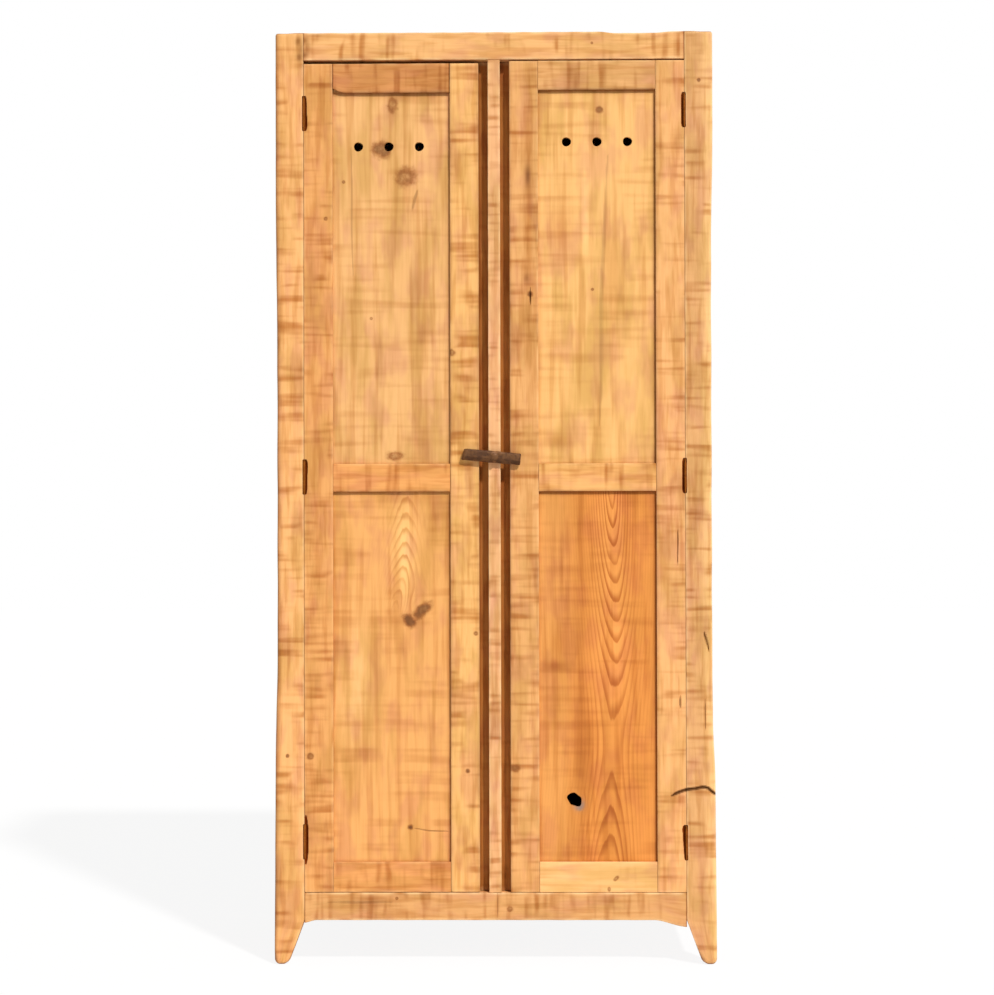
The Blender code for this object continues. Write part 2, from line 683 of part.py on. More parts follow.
def leaf_plate(side, on_door, height):
    """A leaf let into the post or the door's edge, joined to its own barrel and cut back from the other."""
    inner, outer = HINGE_GAP / 2, HINGE_GAP / 2 + LEAF_THICKNESS
    if on_door:
        inner, outer = -outer, -inner
    x = across(side, HINGE_AXIS_X + inner, HINGE_AXIS_X + outer)
    half = HINGE_HEIGHT / 2
    own = FRONT + PIN_RADIUS + 2 * PIN_CLEARANCE
    other = FRONT + BARREL_RADIUS + BARREL_RELIEF
    split = BARREL_GAP / 2
    outline = [(own, -half), (LEAF_END, -half), (LEAF_END, half)]
    outline += [(other, half), (other, -split), (own, -split)]
    flip = -1 if on_door else 1
    return extruded([(y, height + flip * z) for y, z in outline], 0, x)


def build_hinge(side, level, height, root, axis, pieces, iron):
    """One lift-off hinge and its pockets: a lower barrel with a fixed pin, and an upper barrel over it."""
    centre = (SIDES[side] * HINGE_AXIS_X, FRONT, height)
    half = HINGE_HEIGHT / 2
    split = BARREL_GAP / 2
    lower = [(0, -half), (BARREL_RADIUS, -half), (BARREL_RADIUS, -split)]
    lower += [(PIN_RADIUS, -split), (PIN_RADIUS, PIN_LENGTH), (0, PIN_LENGTH)]
    bore = PIN_RADIUS + PIN_CLEARANCE
    bore_top = PIN_LENGTH + PIN_CLEARANCE
    upper = [(0, bore_top), (bore, bore_top), (bore, split)]
    upper += [(BARREL_RADIUS, split), (BARREL_RADIUS, half), (0, half)]
    for on_door, profile, parent in ((False, lower, root), (True, upper, axis)):
        label = "door" if on_door else "frame"
        name = f"{side}_{level}_hinge_{label}_leaf"
        leaf = add_object(name, turned(profile, centre, (0, 0, 1)), parent, iron)
        plate = add_object(f"{name}.plate", leaf_plate(side, on_door, height), parent)
        boolean(leaf, plate, "UNION")
        cut_hinge_pocket(pieces[label], side, level, on_door, height, centre)


def cut_hinge_pocket(piece, side, level, on_door, height, centre):
    """A shallow pocket for the leaf and a round relief for the barrel."""
    near = HINGE_GAP / 2
    inner, outer = (near - CUTTER_OVERRUN, near + LEAF_THICKNESS + FIT)
    if on_door:
        inner, outer = -outer, -inner
    x = across(side, HINGE_AXIS_X + inner, HINGE_AXIS_X + outer)
    half = HINGE_HEIGHT / 2 + FIT
    y = (FRONT, LEAF_END + FIT)
    cut_box(piece, f"{level}_hinge_pocket", x, y, (height - half, height + half))
    relief = BARREL_RADIUS + BARREL_RELIEF
    cut_round(piece, f"{level}_barrel_relief", centre, (0, 0, 1), relief, -half, half)


# Turn button


def build_button(root, pivot, iron):
    """A forged bar with chamfered faces and a boss behind it, turning on a headed pin in the mullion."""
    back = FRONT - FIT - BOSS_HEIGHT
    face = back - BUTTON_THICKNESS
    end, middle = BUTTON_END_HEIGHT / 2, BUTTON_MIDDLE_HEIGHT / 2
    spans = [(-BUTTON_LEFT_ARM, end), (0, middle), (BUTTON_RIGHT_ARM, end)]
    shape = loft(0, [(x, (face, back), (-half, half)) for x, half in spans])
    weights = shape.edges.layers.float["bevel_weight_edge"]
    for edge in shape.edges:
        if all(abs(vert.co.y - face) < FIT for vert in edge.verts) or len({v.co.x for v in edge.verts}) == 1:
            edge[weights] = 1.0
    for edge in shape.edges:
        if all(abs(vert.co.x) < FIT for vert in edge.verts):
            edge[weights] = 0.0
    tilt = Matrix.Translation((0, 0, BUTTON_Z)) @ Matrix.Rotation(BUTTON_REST_TILT, 4, "Y")
    bmesh.ops.transform(shape, matrix=tilt, verts=shape.verts)
    button = add_object("turn_button", shape, pivot, iron)
    round_arrises(button, BUTTON_CHAMFER)
    centre = (0, back, BUTTON_Z)
    boss = rod(centre, (0, 1, 0), BOSS_RADIUS, -BUTTON_THICKNESS / 2, BOSS_HEIGHT)
    boolean(button, add_object("turn_button.boss", boss, pivot), "UNION")
    bore = PIVOT_RADIUS + PIVOT_CLEARANCE
    reach = (-BUTTON_THICKNESS - CUTTER_OVERRUN, BOSS_HEIGHT + CUTTER_OVERRUN)
    cut_round(button, "pivot_bore", centre, (0, 1, 0), bore, *reach)
    tip = BOSS_HEIGHT + FIT + DOOR_THICKNESS + FIT + PIVOT_DEPTH_IN_STOP
    seat = -BUTTON_THICKNESS - FIT
    dome = [(0, tip), (PIVOT_RADIUS, tip), (PIVOT_RADIUS, seat), (PIVOT_HEAD_RADIUS, seat)]
    dome += [(PIVOT_HEAD_RADIUS * 0.8, seat - PIVOT_HEAD_HEIGHT * 0.7), (0, seat - PIVOT_HEAD_HEIGHT)]
    add_object("button_pivot", turned(dome, centre, (0, 1, 0)), root, iron)


# Assembly


def build_carcass(root, finishes):
    frame, board = finishes["frame_pine"], finishes["board_pine"]
    posts = {}
    for side in SIDES:
        for end in ("front", "rear"):
            posts[end, side] = build_post(side, end, root, frame)
        for level in RAIL_SPANS:
            build_side_rail(side, level, root, frame)
        for label, sight in side_panel_sights().items():
            build_side_panel(side, label, sight, root, finishes["panel_pine"])
    for level in ("bottom", "top"):
        build_front_rail(level, root, frame)
        build_rear_rail(level, root, frame)
    build_flat_panel("top_panel", TOP_PANEL_Z, root, board)
    build_flat_panel("floor_panel", FLOOR_PANEL_Z, root, board)
    for label in SHELF_UNDERSIDES:
        build_shelf(label, root, board)
    build_back_boards(root, board)
    build_mullion(root, frame, finishes["dark_stain"])
    return posts


def build_door(side, root, axis, post, finishes):
    frame = finishes["frame_pine"]
    hinge_stile = build_stile(side, "hinge", axis, frame)
    build_stile(side, "meeting", axis, frame)
    for level in ("bottom", "middle", "top"):
        pine = finishes["pale_pine"] if (side, level) == ("right", "bottom") else frame
        build_door_rail(side, level, axis, pine)
    for label in ("lower", "upper"):
        pine = finishes["red_pine"] if (side, label) == ("right", "lower") else finishes["panel_pine"]
        build_door_panel(side, label, axis, pine)
    pieces = {"frame": post, "door": hinge_stile}
    for level, height in hinge_heights(side).items():
        build_hinge(side, level, height, root, axis, pieces, finishes["rusted_iron"])


def main():
    clear_scene()
    finishes = {
        "frame_pine": finish("frame_pine", (0.76, 0.41, 0.14), 0.62),
        "panel_pine": finish("panel_pine", (0.81, 0.47, 0.17), 0.58),
        "red_pine": finish("red_pine", (0.74, 0.31, 0.08), 0.58),
        "pale_pine": finish("pale_pine", (0.88, 0.57, 0.23), 0.60),
        "board_pine": finish("board_pine", (0.66, 0.37, 0.14), 0.70),
        "dark_stain": finish("dark_stain", (0.19, 0.08, 0.03), 0.75),
        "rusted_iron": finish("rusted_iron", (0.09, 0.04, 0.025), 0.75, 0.6),
        "forged_iron": finish("forged_iron", (0.12, 0.08, 0.07), 0.55, 0.8),
    }
    root = axis_empty("carcass", (0, 0, 0))
    posts = build_carcass(root, finishes)
    for side, sign in SIDES.items():
        bottom = door_levels(side)["bottom"][0]
        axis = axis_empty(f"{side}_door_axis", (sign * HINGE_AXIS_X, FRONT, bottom))
        build_door(side, root, axis, posts["front", side], finishes)
    pivot = axis_empty("button_axis", (0, FRONT, BUTTON_Z))
    build_button(root, pivot, finishes["forged_iron"])


main()
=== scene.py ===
import json
import math

import bpy
import numpy as np
from mathutils import Matrix, Vector

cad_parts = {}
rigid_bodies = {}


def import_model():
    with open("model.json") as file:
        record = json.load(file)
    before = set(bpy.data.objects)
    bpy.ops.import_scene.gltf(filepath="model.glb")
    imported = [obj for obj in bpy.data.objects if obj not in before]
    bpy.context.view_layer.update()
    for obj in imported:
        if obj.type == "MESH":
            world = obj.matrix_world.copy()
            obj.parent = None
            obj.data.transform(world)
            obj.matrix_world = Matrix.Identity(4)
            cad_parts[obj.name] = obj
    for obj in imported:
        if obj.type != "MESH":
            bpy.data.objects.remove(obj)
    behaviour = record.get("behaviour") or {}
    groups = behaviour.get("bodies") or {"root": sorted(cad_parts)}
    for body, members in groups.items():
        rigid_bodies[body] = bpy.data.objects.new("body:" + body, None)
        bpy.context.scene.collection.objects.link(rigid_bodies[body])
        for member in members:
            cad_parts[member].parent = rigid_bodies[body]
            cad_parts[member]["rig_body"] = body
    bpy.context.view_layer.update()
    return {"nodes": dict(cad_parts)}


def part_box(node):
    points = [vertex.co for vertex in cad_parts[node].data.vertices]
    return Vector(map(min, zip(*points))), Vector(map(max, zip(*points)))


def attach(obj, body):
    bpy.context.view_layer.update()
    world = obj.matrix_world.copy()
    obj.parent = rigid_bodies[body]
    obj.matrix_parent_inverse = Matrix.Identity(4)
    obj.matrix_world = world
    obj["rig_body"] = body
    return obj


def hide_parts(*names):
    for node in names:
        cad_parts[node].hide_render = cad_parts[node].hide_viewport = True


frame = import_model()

print("frame loaded:", len(frame["nodes"]), "solids")


# Plain tools

def linear(hexColour):  # sRGB hex to linear light, channel by channel
    srgb = np.array([int(hexColour[i:i + 2], 16) for i in (1, 3, 5)]) / 255
    return np.where(srgb <= 0.04045, srgb / 12.92, ((srgb + 0.055) / 1.055) ** 2.4)


def setInputs(tree, node, links):  # each input takes a value, or a link from another node's socket
    for key, value in links.items():
        if isinstance(value, bpy.types.NodeSocket):
            tree.links.new(value, node.inputs[key])
        else:
            node.inputs[key].default_value = value


def addNode(tree, kind, links=None, out=0, **settings):
    # one shader node: settings go on the node, links into its inputs, and one of its outputs comes back
    made = tree.nodes.new("ShaderNode" + kind)
    for key, value in settings.items():
        setattr(made, key, value)
    setInputs(tree, made, links or {})
    return made.outputs[out]


def startMaterial(name):  # a new material, its node tree and its shader
    made = bpy.data.materials.new(name)
    made.use_nodes = True
    return made, made.node_tree, made.node_tree.nodes["Principled BSDF"]


def ripple(seed, wavelengths, *along):
    # a smooth wandering value near -1 to 1: four sine waves of random phase are summed, each with 0.6 to 1.7
    # times the given wavelengths
    rng = np.random.default_rng(seed)
    total = np.zeros_like(along[0])
    for wave in range(4):
        phase = rng.uniform(0, math.tau)
        for place, length in zip(along, wavelengths):
            phase = phase + place * math.tau / (length * rng.uniform(0.6, 1.7)) * rng.choice((-1, 1))
        total = total + np.sin(phase)
    return total / 2.2


def smooth(value, low, high):  # 0 below low, 1 above high, eased between
    share = np.clip((value - low) / (high - low), 0, 1)
    return share * share * (3 - 2 * share)


def addPiece(name, points, faces, node, material, values=None, sharp=38):
    # puts numpy points and faces into a mesh that rides with its solid's body and stands for that solid
    used = np.unique(faces)
    renumber = np.zeros(len(points), int)
    renumber[used] = np.arange(len(used))
    mesh = bpy.data.meshes.new(name)
    mesh.from_pydata(points[used], [], renumber[faces].tolist())
    for key, array in (values or {}).items():
        kind, field = ("FLOAT", "value") if array.ndim == 1 else ("FLOAT_VECTOR", "vector")
        attribute = mesh.attributes.new(key, kind, "POINT")
        attribute.data.foreach_set(field, array[used].astype(np.float32).ravel())
    mesh.shade_smooth()
    mesh.set_sharp_from_angle(angle=math.radians(sharp))
    mesh.materials.append(material)
    piece = bpy.data.objects.new(name, mesh)
    bpy.context.scene.collection.objects.link(piece)
    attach(piece, frame["nodes"][node]["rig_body"])
    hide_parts(node)


# Camera, matched to the photograph's corners

camera = {"eye": (0.052, -4.0, 0.866), "yaw": -0.716, "pitch": 0.516, "roll": -0.135, "lens": 70.97,
          "sensor": 36, "clipEnd": 60}


def placeCamera():
    # looks along yaw and pitch from the eye, and is turned about that line by roll
    yaw, pitch, roll = (math.radians(camera[key]) for key in ("yaw", "pitch", "roll"))
    ahead = Vector((math.sin(yaw) * math.cos(pitch), math.cos(yaw) * math.cos(pitch), math.sin(pitch)))
    level = ahead.cross(Vector((0, 0, 1))).normalized()
    upright = level.cross(ahead)
    across = math.cos(roll) * level + math.sin(roll) * upright
    turn = Matrix((across, across.cross(ahead), -ahead)).transposed()
    data = bpy.data.cameras.new("camera")
    data.lens = camera["lens"]
    data.sensor_width = camera["sensor"]
    data.clip_end = camera["clipEnd"]
    made = bpy.data.objects.new("camera", data)
    made.matrix_world = Matrix.Translation(camera["eye"]) @ turn.to_4x4()
    bpy.context.scene.collection.objects.link(made)
    bpy.context.scene.camera = made


# Studio: a sun from the upper right of the front, an even fill and a white floor

studio = {"sunFrom": (0.375, -0.60, 0.707), "sun": 3.75, "sunAngle": 4.0, "fill": 0.28, "floorHalf": 14.0,
          "floorWhite": "#F6F5F3", "floorRoughness": 0.9, "floorGloss": 0.1, "shadowLift": 0.90}


def buildStudio():
    sun = bpy.data.lights.new("sun", "SUN")
    sun.energy = studio["sun"]
    sun.angle = math.radians(studio["sunAngle"])
    lamp = bpy.data.objects.new("sun", sun)
    lamp.rotation_mode = "QUATERNION"
    lamp.rotation_quaternion = Vector(studio["sunFrom"]).to_track_quat("Z", "Y")
    bpy.context.scene.collection.objects.link(lamp)

    world = bpy.data.worlds.new("studio")
    bpy.context.scene.world = world
    world.use_nodes = True
    tree = world.node_tree
    rays = addNode(tree, "LightPath").node.outputs  # white where it is seen or mirrored, the fill elsewhere
    seen = rays["Is Camera Ray"]
    for ray in ("Is Glossy Ray", "Is Transmission Ray"):
        seen = addNode(tree, "Math", {0: seen, 1: rays[ray]}, operation="MAXIMUM")
    strength = addNode(tree, "MapRange", {0: seen, 3: studio["fill"], 4: 1.0})
    setInputs(tree, tree.nodes["Background"], {"Color": (1, 1, 1, 1), "Strength": strength})

    half = studio["floorHalf"]
    square = [(-half, -half, 0), (half, -half, 0), (half, half, 0), (-half, half, 0)]
    mesh = bpy.data.meshes.new("floor")
    mesh.from_pydata(square, [], [(0, 1, 2, 3)])
    floor = bpy.data.objects.new("floor", mesh)
    bpy.context.scene.collection.objects.link(floor)
    # matt paper, lifted towards white for the camera
    paper, tree, shader = startMaterial("white_paper_sweep")
    setInputs(tree, shader, {"Base Color": (*linear(studio["floorWhite"]), 1),
                             "Roughness": studio["floorRoughness"],
                             "Specular IOR Level": studio["floorGloss"]})
    white = addNode(tree, "Emission", {"Strength": 1.0})
    seen = addNode(tree, "LightPath").node.outputs["Is Camera Ray"]
    share = addNode(tree, "Math", {0: seen, 1: studio["shadowLift"]}, operation="MULTIPLY")
    lifted = addNode(tree, "MixShader", {0: share, 1: shader.outputs[0], 2: white})
    setInputs(tree, tree.nodes["Material Output"], {"Surface": lifted})
    mesh.materials.append(paper)


# Pine: one recipe for every board, with a look for each way it was sawn, planed or stained

tones = {"frame_pine": "#E4A564", "panel_pine": "#E8AC68", "red_pine": "#DA8D44", "pale_pine": "#F0BA76",
         "board_pine": "#D29B5F", "dark_stain": "#BC7A36"}
boardTones = {  # boards that differ a little from their kind, most of them seen from the front
    "front_post_left": "#E8AD6D", "front_post_right": "#E8B677", "top_rail_front": "#E4AC6D",
    "bottom_rail_front": "#D49D62", "left_hinge_stile": "#DC9D5C", "left_meeting_stile": "#E5AE69",
    "centre_mullion": "#E1A975", "right_meeting_stile": "#DCA264", "right_hinge_stile": "#E6AB6D",
    "left_door_top_rail": "#CF8D52", "left_door_middle_rail": "#E29E5A", "left_door_bottom_rail": "#DD9A59",
    "right_door_top_rail": "#D8A165", "right_door_middle_rail": "#E6AB67",
    "right_door_bottom_rail": "#EFB979", "left_upper_panel": "#E1AB6D", "left_lower_panel": "#E0A25E",
    "right_upper_panel": "#E7B16C", "right_lower_panel": "#DA8C40", "back_board_1": "#C98F54",
    "back_board_2": "#D8A468", "back_board_3": "#CE985F", "back_board_4": "#C48A4F",
    "shelf_lower": "#CC965A", "shelf_upper": "#D8A266", "top_panel": "#D49E62"}

# layers: millimetres across and along the grain, then detail; rings and fibres finer than a pixel of the
# render are drawn coarser, so that they show; each mark's strength stands under its own name
sawnPine = {
    "layers": {"fibre": (4.2, 80, 2), "streak": (12, 110, 2), "cloud": (50, 130, 3), "blush": (36, 80, 2),
               "saw": (130, 13, 0.8), "patch": (60, 50, 1), "lump": (12, 12, 2), "mottle": (8, 8, 2)},
    "late": 0.05, "fibre": 0.22, "streak": 0.50, "cloud": 0.55, "blush": 0.70, "saw": 0.85, "wear": 0.30,
    "endGrain": 0.85, "knot": 0.80, "knotRing": 0.5, "knotHeart": 0.90, "grime": 1.0, "crack": 0.9,
    "ringEdge": 0.80, "wobble": 0.9, "leastRing": 0.5, "roughness": (0.58, 0.78), "bump": 0.45}
planedPine = dict(sawnPine, saw=0.38, late=0.08, fibre=0.16, cloud=0.62, wear=0.15, bump=0.30,
                  roughness=(0.50, 0.68),
                  layers=dict(sawnPine["layers"], patch=(80, 120, 1), cloud=(45, 200, 3), streak=(14, 260, 2),
                              fibre=(5.0, 140, 2), saw=(170, 14, 0.8)))
redPine = dict(planedPine, late=0.95, saw=0.35, cloud=0.35, ringEdge=0.86, wobble=0.6, leastRing=0.6)
innerPine = dict(sawnPine, saw=0.4, streak=0.7, fibre=0.35, roughness=(0.68, 0.85))
stainedPine = dict(innerPine, saw=0.3, cloud=0.4, roughness=(0.65, 0.8))

# the marks in the order they are laid on: each lets through its tint of the colour under it, and the covering
# ones hide it
# grime darkens dirt in joints and grooves, and is also painted shade: under rails, beside stiles, on edges
# turned from the sun, in the hinge slits and on the mullion's stop
tints = {"cloud": "#D8D6AE", "blush": "#EEDFF2", "streak": "#DCC6A4", "fibre": "#E2D2BA", "late": "#CDB08A",
         "saw": "#CCAC80", "wear": "#FFE0A8", "endGrain": "#C4A47C", "knot": "#9A632F", "knotRing": "#C29A6C",
         "knotHeart": "#552C10", "grime": "#8A5424", "crack": "#42200D"}
covering = ("wear", "knot", "knotHeart", "crack")

# where a mark begins and where it is full, in the noise or the field it comes from; with four limits it fades
# again over the last two
markLimits = {"fibre": (0.42, 0.70), "streak": (0.46, 0.68), "cloud": (0.42, 0.66), "blush": (0.45, 0.68),
              "patch": (0.36, 0.56), "saw": (0.44, 0.76), "knot": (0.05, 0.90), "knotHeart": (0.60, 1.10),
              "knotRing": (0.35, 0.75, 0.80, 1.30)}
pine = {"noiseRoughness": 0.55, "ringFrom": 0.35, "ringFall": 0.02, "knotLumps": 0.9,
        "mottle": (0.38, 0.58, 0.45), "roughFrom": (0.35, 0.65), "sawRoughness": 0.08, "ior": 1.45,
        "gloss": (0.30, 0.02),  # on clean wood, and in dirt and painted shade
        "height": {"fibre": 0.5, "late": 0.35, "saw": -0.6}, "bumpHeight": 0.0006}


def pineMaterial(name, look):
    # pine: pale spring wood, darker summer wood, fine fibres along the grain, olive and rosy patches of wax,
    # brown knots, paler worn arrises, and on sawn boards ochre bars across the grain that the saw left
    made, tree, shader = startMaterial(name)
    grain = addNode(tree, "Attribute", out=1, attribute_name="grain")
    value = {key: addNode(tree, "Attribute", out=2, attribute_name=key)
             for key in ("ring", "figure", "knot", "dark", "crack", "endGrain", "grime", "wear")}
    layer = {}
    for key, (across, along, detail) in look["layers"].items():
        scale = (1000 / across, 1000 / across, 1000 / along)  # noise cells in a metre
        scaled = addNode(tree, "VectorMath", {0: grain, 1: scale}, operation="MULTIPLY")
        layer[key] = addNode(tree, "TexNoise", {"Vector": scaled, "Scale": 1.0, "Detail": detail,
                                                "Roughness": pine["noiseRoughness"]})

    # a ring darkens slowly and ends more sharply; a knot's edge is uneven and soft, darkest just inside it
    wobble = addNode(tree, "Math", {0: layer["streak"], 1: look["wobble"], 2: value["ring"]},
                     operation="MULTIPLY_ADD")
    phase = addNode(tree, "Math", {0: wobble}, operation="FRACT")
    knotEdge = addNode(tree, "Math", {0: layer["lump"], 1: pine["knotLumps"], 2: value["knot"]},
                       operation="MULTIPLY_ADD")
    source = dict(layer, late=phase, knot=knotEdge, knotRing=knotEdge, knotHeart=knotEdge)
    ringEnd = look["ringEdge"] + pine["ringFall"]
    limits = dict(markLimits, late=(pine["ringFrom"], look["ringEdge"], ringEnd, 1.0))
    mask = {}
    for key, (low, high, *fading) in limits.items():
        mask[key] = addNode(tree, "MapRange", {0: source[key], 1: low, 2: high},
                            interpolation_type="SMOOTHSTEP")
        if fading:
            fall = addNode(tree, "MapRange", {0: source[key], 1: fading[0], 2: fading[1], 3: 1.0, 4: 0.0},
                           interpolation_type="SMOOTHSTEP")
            mask[key] = addNode(tree, "Math", {0: mask[key], 1: fall}, operation="MULTIPLY")

    # no two rings are equally dark, saw bars are worn away outside the patches, a knot is mottled, and its
    # heart has its own darkness
    number = addNode(tree, "Math", {0: wobble}, operation="FLOOR")
    chance = addNode(tree, "TexWhiteNoise", {"W": number}, noise_dimensions="1D")
    weight = addNode(tree, "MapRange", {0: chance, 3: look["leastRing"], 4: 1.0})
    weight = addNode(tree, "Math", {0: weight, 1: value["figure"]}, operation="MULTIPLY")
    low, high, least = pine["mottle"]
    mottle = addNode(tree, "MapRange", {0: layer["mottle"], 1: low, 2: high, 3: least, 4: 1.0})
    shares = {"late": weight, "saw": mask["patch"], "knot": mottle, "knotHeart": value["dark"]}
    for key, share in shares.items():
        mask[key] = addNode(tree, "Math", {0: mask[key], 1: share}, operation="MULTIPLY")
    mask.update({key: value[key] for key in ("endGrain", "grime", "crack", "wear")})

    colour = addNode(tree, "Attribute", attribute_name="tone")
    for key, tint in tints.items():
        share = addNode(tree, "Math", {0: mask[key], 1: look[key]}, operation="MULTIPLY")
        colour = addNode(tree, "Mix", {0: share, 6: colour, 7: (*linear(tint), 1)}, out=2, data_type="RGBA",
                         blend_type="MIX" if key in covering else "MULTIPLY")

    low, high = pine["roughFrom"]
    smoothest, roughest = look["roughness"]
    rough = addNode(tree, "MapRange", {0: layer["streak"], 1: low, 2: high, 3: smoothest, 4: roughest})
    rough = addNode(tree, "Math", {0: mask["saw"], 1: pine["sawRoughness"], 2: rough},
                    operation="MULTIPLY_ADD")
    dirtAndShade = addNode(tree, "Math", {0: value["crack"], 1: value["grime"]}, operation="MAXIMUM")
    gloss = addNode(tree, "MapRange", {0: dirtAndShade, 3: pine["gloss"][0], 4: pine["gloss"][1]})
    height = addNode(tree, "Math", {0: layer["fibre"], 1: pine["height"]["fibre"]}, operation="MULTIPLY")
    for key in ("late", "saw"):
        height = addNode(tree, "Math", {0: mask[key], 1: pine["height"][key], 2: height},
                         operation="MULTIPLY_ADD")
    bump = addNode(tree, "Bump", {"Strength": look["bump"], "Distance": pine["bumpHeight"], "Height": height})
    setInputs(tree, shader, {"Base Color": colour, "Roughness": rough, "IOR": pine["ior"],
                             "Specular IOR Level": gloss, "Normal": bump})
    return made


pines = {
    "frame_pine": pineMaterial("sawn_pine_waxed", sawnPine),
    "panel_pine": pineMaterial("planed_pine_waxed", planedPine),
    "red_pine": pineMaterial("planed_red_pine_waxed", redPine),
    "pale_pine": pineMaterial("planed_sapwood_pine", planedPine),
    "board_pine": pineMaterial("sawn_pine_bare", innerPine),
    "dark_stain": pineMaterial("pine_stained_brown", stainedPine),
}
print("pine materials:", len(pines))


# Boards: a fine grid over the outside of a block, with worn arrises, grooves, pockets and holes

stepRun = 2e-5  # the run of a sharp step in a face, between two grid lines
near = 1e-5  # places closer than this count as one


def gridLines(low, high, pitch, arris, fine):
    # even steps, two close lines over each arris, and finer stretches given as (from, to, pitch)
    lines = np.linspace(low + arris, high - arris, max(2, round((high - low) / pitch)) + 1)
    halfway = 0.586 * arris  # a line here comes to lie halfway round the arris
    edges = [low, low + halfway, high - halfway, high]
    for start, end, closer in fine:
        start, end = max(start, low), min(end, high)
        if end <= start:
            continue
        clear = 0.45 * closer  # lines this close to the stretch give way to it
        kept = (lines < start - clear) | (lines > end + clear)
        count = max(1, round((end - start) / closer)) + 1
        lines = np.concatenate([lines[kept], np.linspace(start, end, count)])
    return np.unique(np.round(np.concatenate([lines, edges]), 7))


def boxSkin(lines):
    # the outside of a block as a grid: every crossing of the three sets of lines that lies on a face, and
    # a quad for each cell of the six faces, turned outwards
    counts = [len(line) for line in lines]
    place = np.indices(counts)
    outside = np.zeros(counts, bool)
    for axis in range(3):
        outside |= (place[axis] == 0) | (place[axis] == counts[axis] - 1)
    ids = np.full(counts, -1)
    ids[outside] = np.arange(outside.sum())
    at = np.stack([place[axis][outside] for axis in range(3)], 1)
    points = np.stack([lines[axis][at[:, axis]] for axis in range(3)], 1)
    quads, onFace = [], {}
    for axis in range(3):
        for end, last in ((-1, 0), (1, counts[axis] - 1)):
            sheet = np.take(ids, last, axis)
            cellCorners = [sheet[:-1, :-1], sheet[1:, :-1], sheet[1:, 1:], sheet[:-1, 1:]]
            cells = np.stack(cellCorners, -1).reshape(-1, 4)
            quads.append(cells if (end < 0) == (axis == 1) else cells[:, ::-1])
            onFace[axis, end] = at[:, axis] == last
    return points, np.concatenate(quads), ids, onFace


def roundOver(points, low, high, radius, power=2.0):
    # each point is drawn back to the block that is a radius smaller, and pushed out from it by the radius;
    # power 2 rounds the arris and a power near 1 leaves it chamfered
    radius = np.broadcast_to(np.asarray(radius, float), points.shape[:1])[:, None]
    core = np.clip(points, low + radius, high - radius)
    away = points - core
    return core + away * radius / (np.abs(away) ** power).sum(1, keepdims=True) ** (1 / power)


def openHole(points, quads, ids, lines, hole):
    # a square of the grid is taken out and its edge drawn out to the rim: a point at square distance s goes
    # to rim radius times s / half along its own direction, fading out to reach; a wall joins front to back
    cx, cz = hole["centre"]
    half, reach = hole["half"], hole["reach"]
    dx, dz = points[:, 0] - cx, points[:, 2] - cz
    square = np.maximum(np.abs(dx), np.abs(dz))
    spread = np.hypot(dx, dz) + 1e-9
    rim = hole["rim"](np.arctan2(dz, dx)) * square / half
    share = 1 - smooth(square, half, reach)
    points[:, 0] += share * (dx / spread * rim - dx)
    points[:, 2] += share * (dz / spread * rim - dz)
    i = np.flatnonzero(np.abs(lines[0] - cx) < half + near)
    k = np.flatnonzero(np.abs(lines[2] - cz) < half + near)
    inside = np.zeros(len(points), bool)
    for face in (0, -1):
        inside[ids[i[0]:i[-1] + 1, face, k[0]:k[-1] + 1]] = True
    quads = quads[~inside[quads].all(1)]
    loopI = np.concatenate([i[:-1], np.full(len(k) - 1, i[-1]), i[:0:-1], np.full(len(k) - 1, i[0])])
    loopK = np.concatenate([np.full(len(i) - 1, k[0]), k[:-1], np.full(len(i) - 1, k[-1]), k[:0:-1]])
    frontRim, backRim = ids[loopI, 0, loopK], ids[loopI, -1, loopK]
    wall = np.stack([frontRim, np.roll(frontRim, -1), np.roll(backRim, -1), backRim], 1)
    return points, np.concatenate([quads, wall])


def toPath(across, along, path):
    # the distance to a broken line, and how far along it (0 to 1) the nearest place is
    path = np.asarray(path, float)
    best = np.full(across.shape, 1e9)
    share = np.zeros(across.shape)
    for number, (start, end) in enumerate(zip(path, path[1:])):
        run = end - start
        t = np.clip(((across - start[0]) * run[0] + (along - start[1]) * run[1]) / (run @ run), 0, 1)
        gap = np.hypot(across - start[0] - t * run[0], along - start[1] - t * run[1])
        share = np.where(gap < best, (number + t) / (len(path) - 1), share)
        best = np.minimum(best, gap)
    return best, share


def knotAt(across, along, radius, squash=1, turn=0, dark=0.2):  # a squashed round, turned by degrees
    return {"at": (across, along), "radius": radius, "squash": squash, "turn": turn, "dark": dark}


def crackOn(path, width, depth, dark=1.0, ends=(0.35, 0.35)):  # ends: the share of its width left there
    return {"path": path, "width": width, "depth": depth, "dark": dark, "ends": ends}


rings = {"knotStretch": 1.8, "knotSwell": 0.9, "knotCore": 0.35, "rise": 0.004, "riseLength": 0.5,
         "sway": 0.006, "swayLength": 0.8, "leastDepth": 0.003}


def growthRings(across, depth, along, tree, knots, seed):
    # distance from the tree's pith counted in rings: the pith lies behind the face, leans along the board
    # and comes nearer either side of one place as a hyperbola, so the rings come out as arches; they flow
    # round each knot as water round a post
    flow = across.copy()
    for knot in knots:
        du, dw = across - knot["at"][0], (along - knot["at"][1]) / rings["knotStretch"]
        swell = (rings["knotSwell"] * knot["radius"]) ** 2
        flow = flow - du * swell / (du ** 2 + dw ** 2 + rings["knotCore"] * swell)
    run = along - tree["from"]
    arch = tree["arch"] * (np.hypot(run, tree["bend"]) - tree["bend"])
    rise = rings["rise"] * ripple(seed, (rings["riseLength"],), along)
    behind = np.maximum(tree["depth"] + tree["lean"] * run - arch + rise, rings["leastDepth"])
    sway = rings["sway"] * ripple(seed + 1, (rings["swayLength"],), along)
    return np.hypot(flow - tree["pith"] - sway, behind + depth) / tree["ring"]


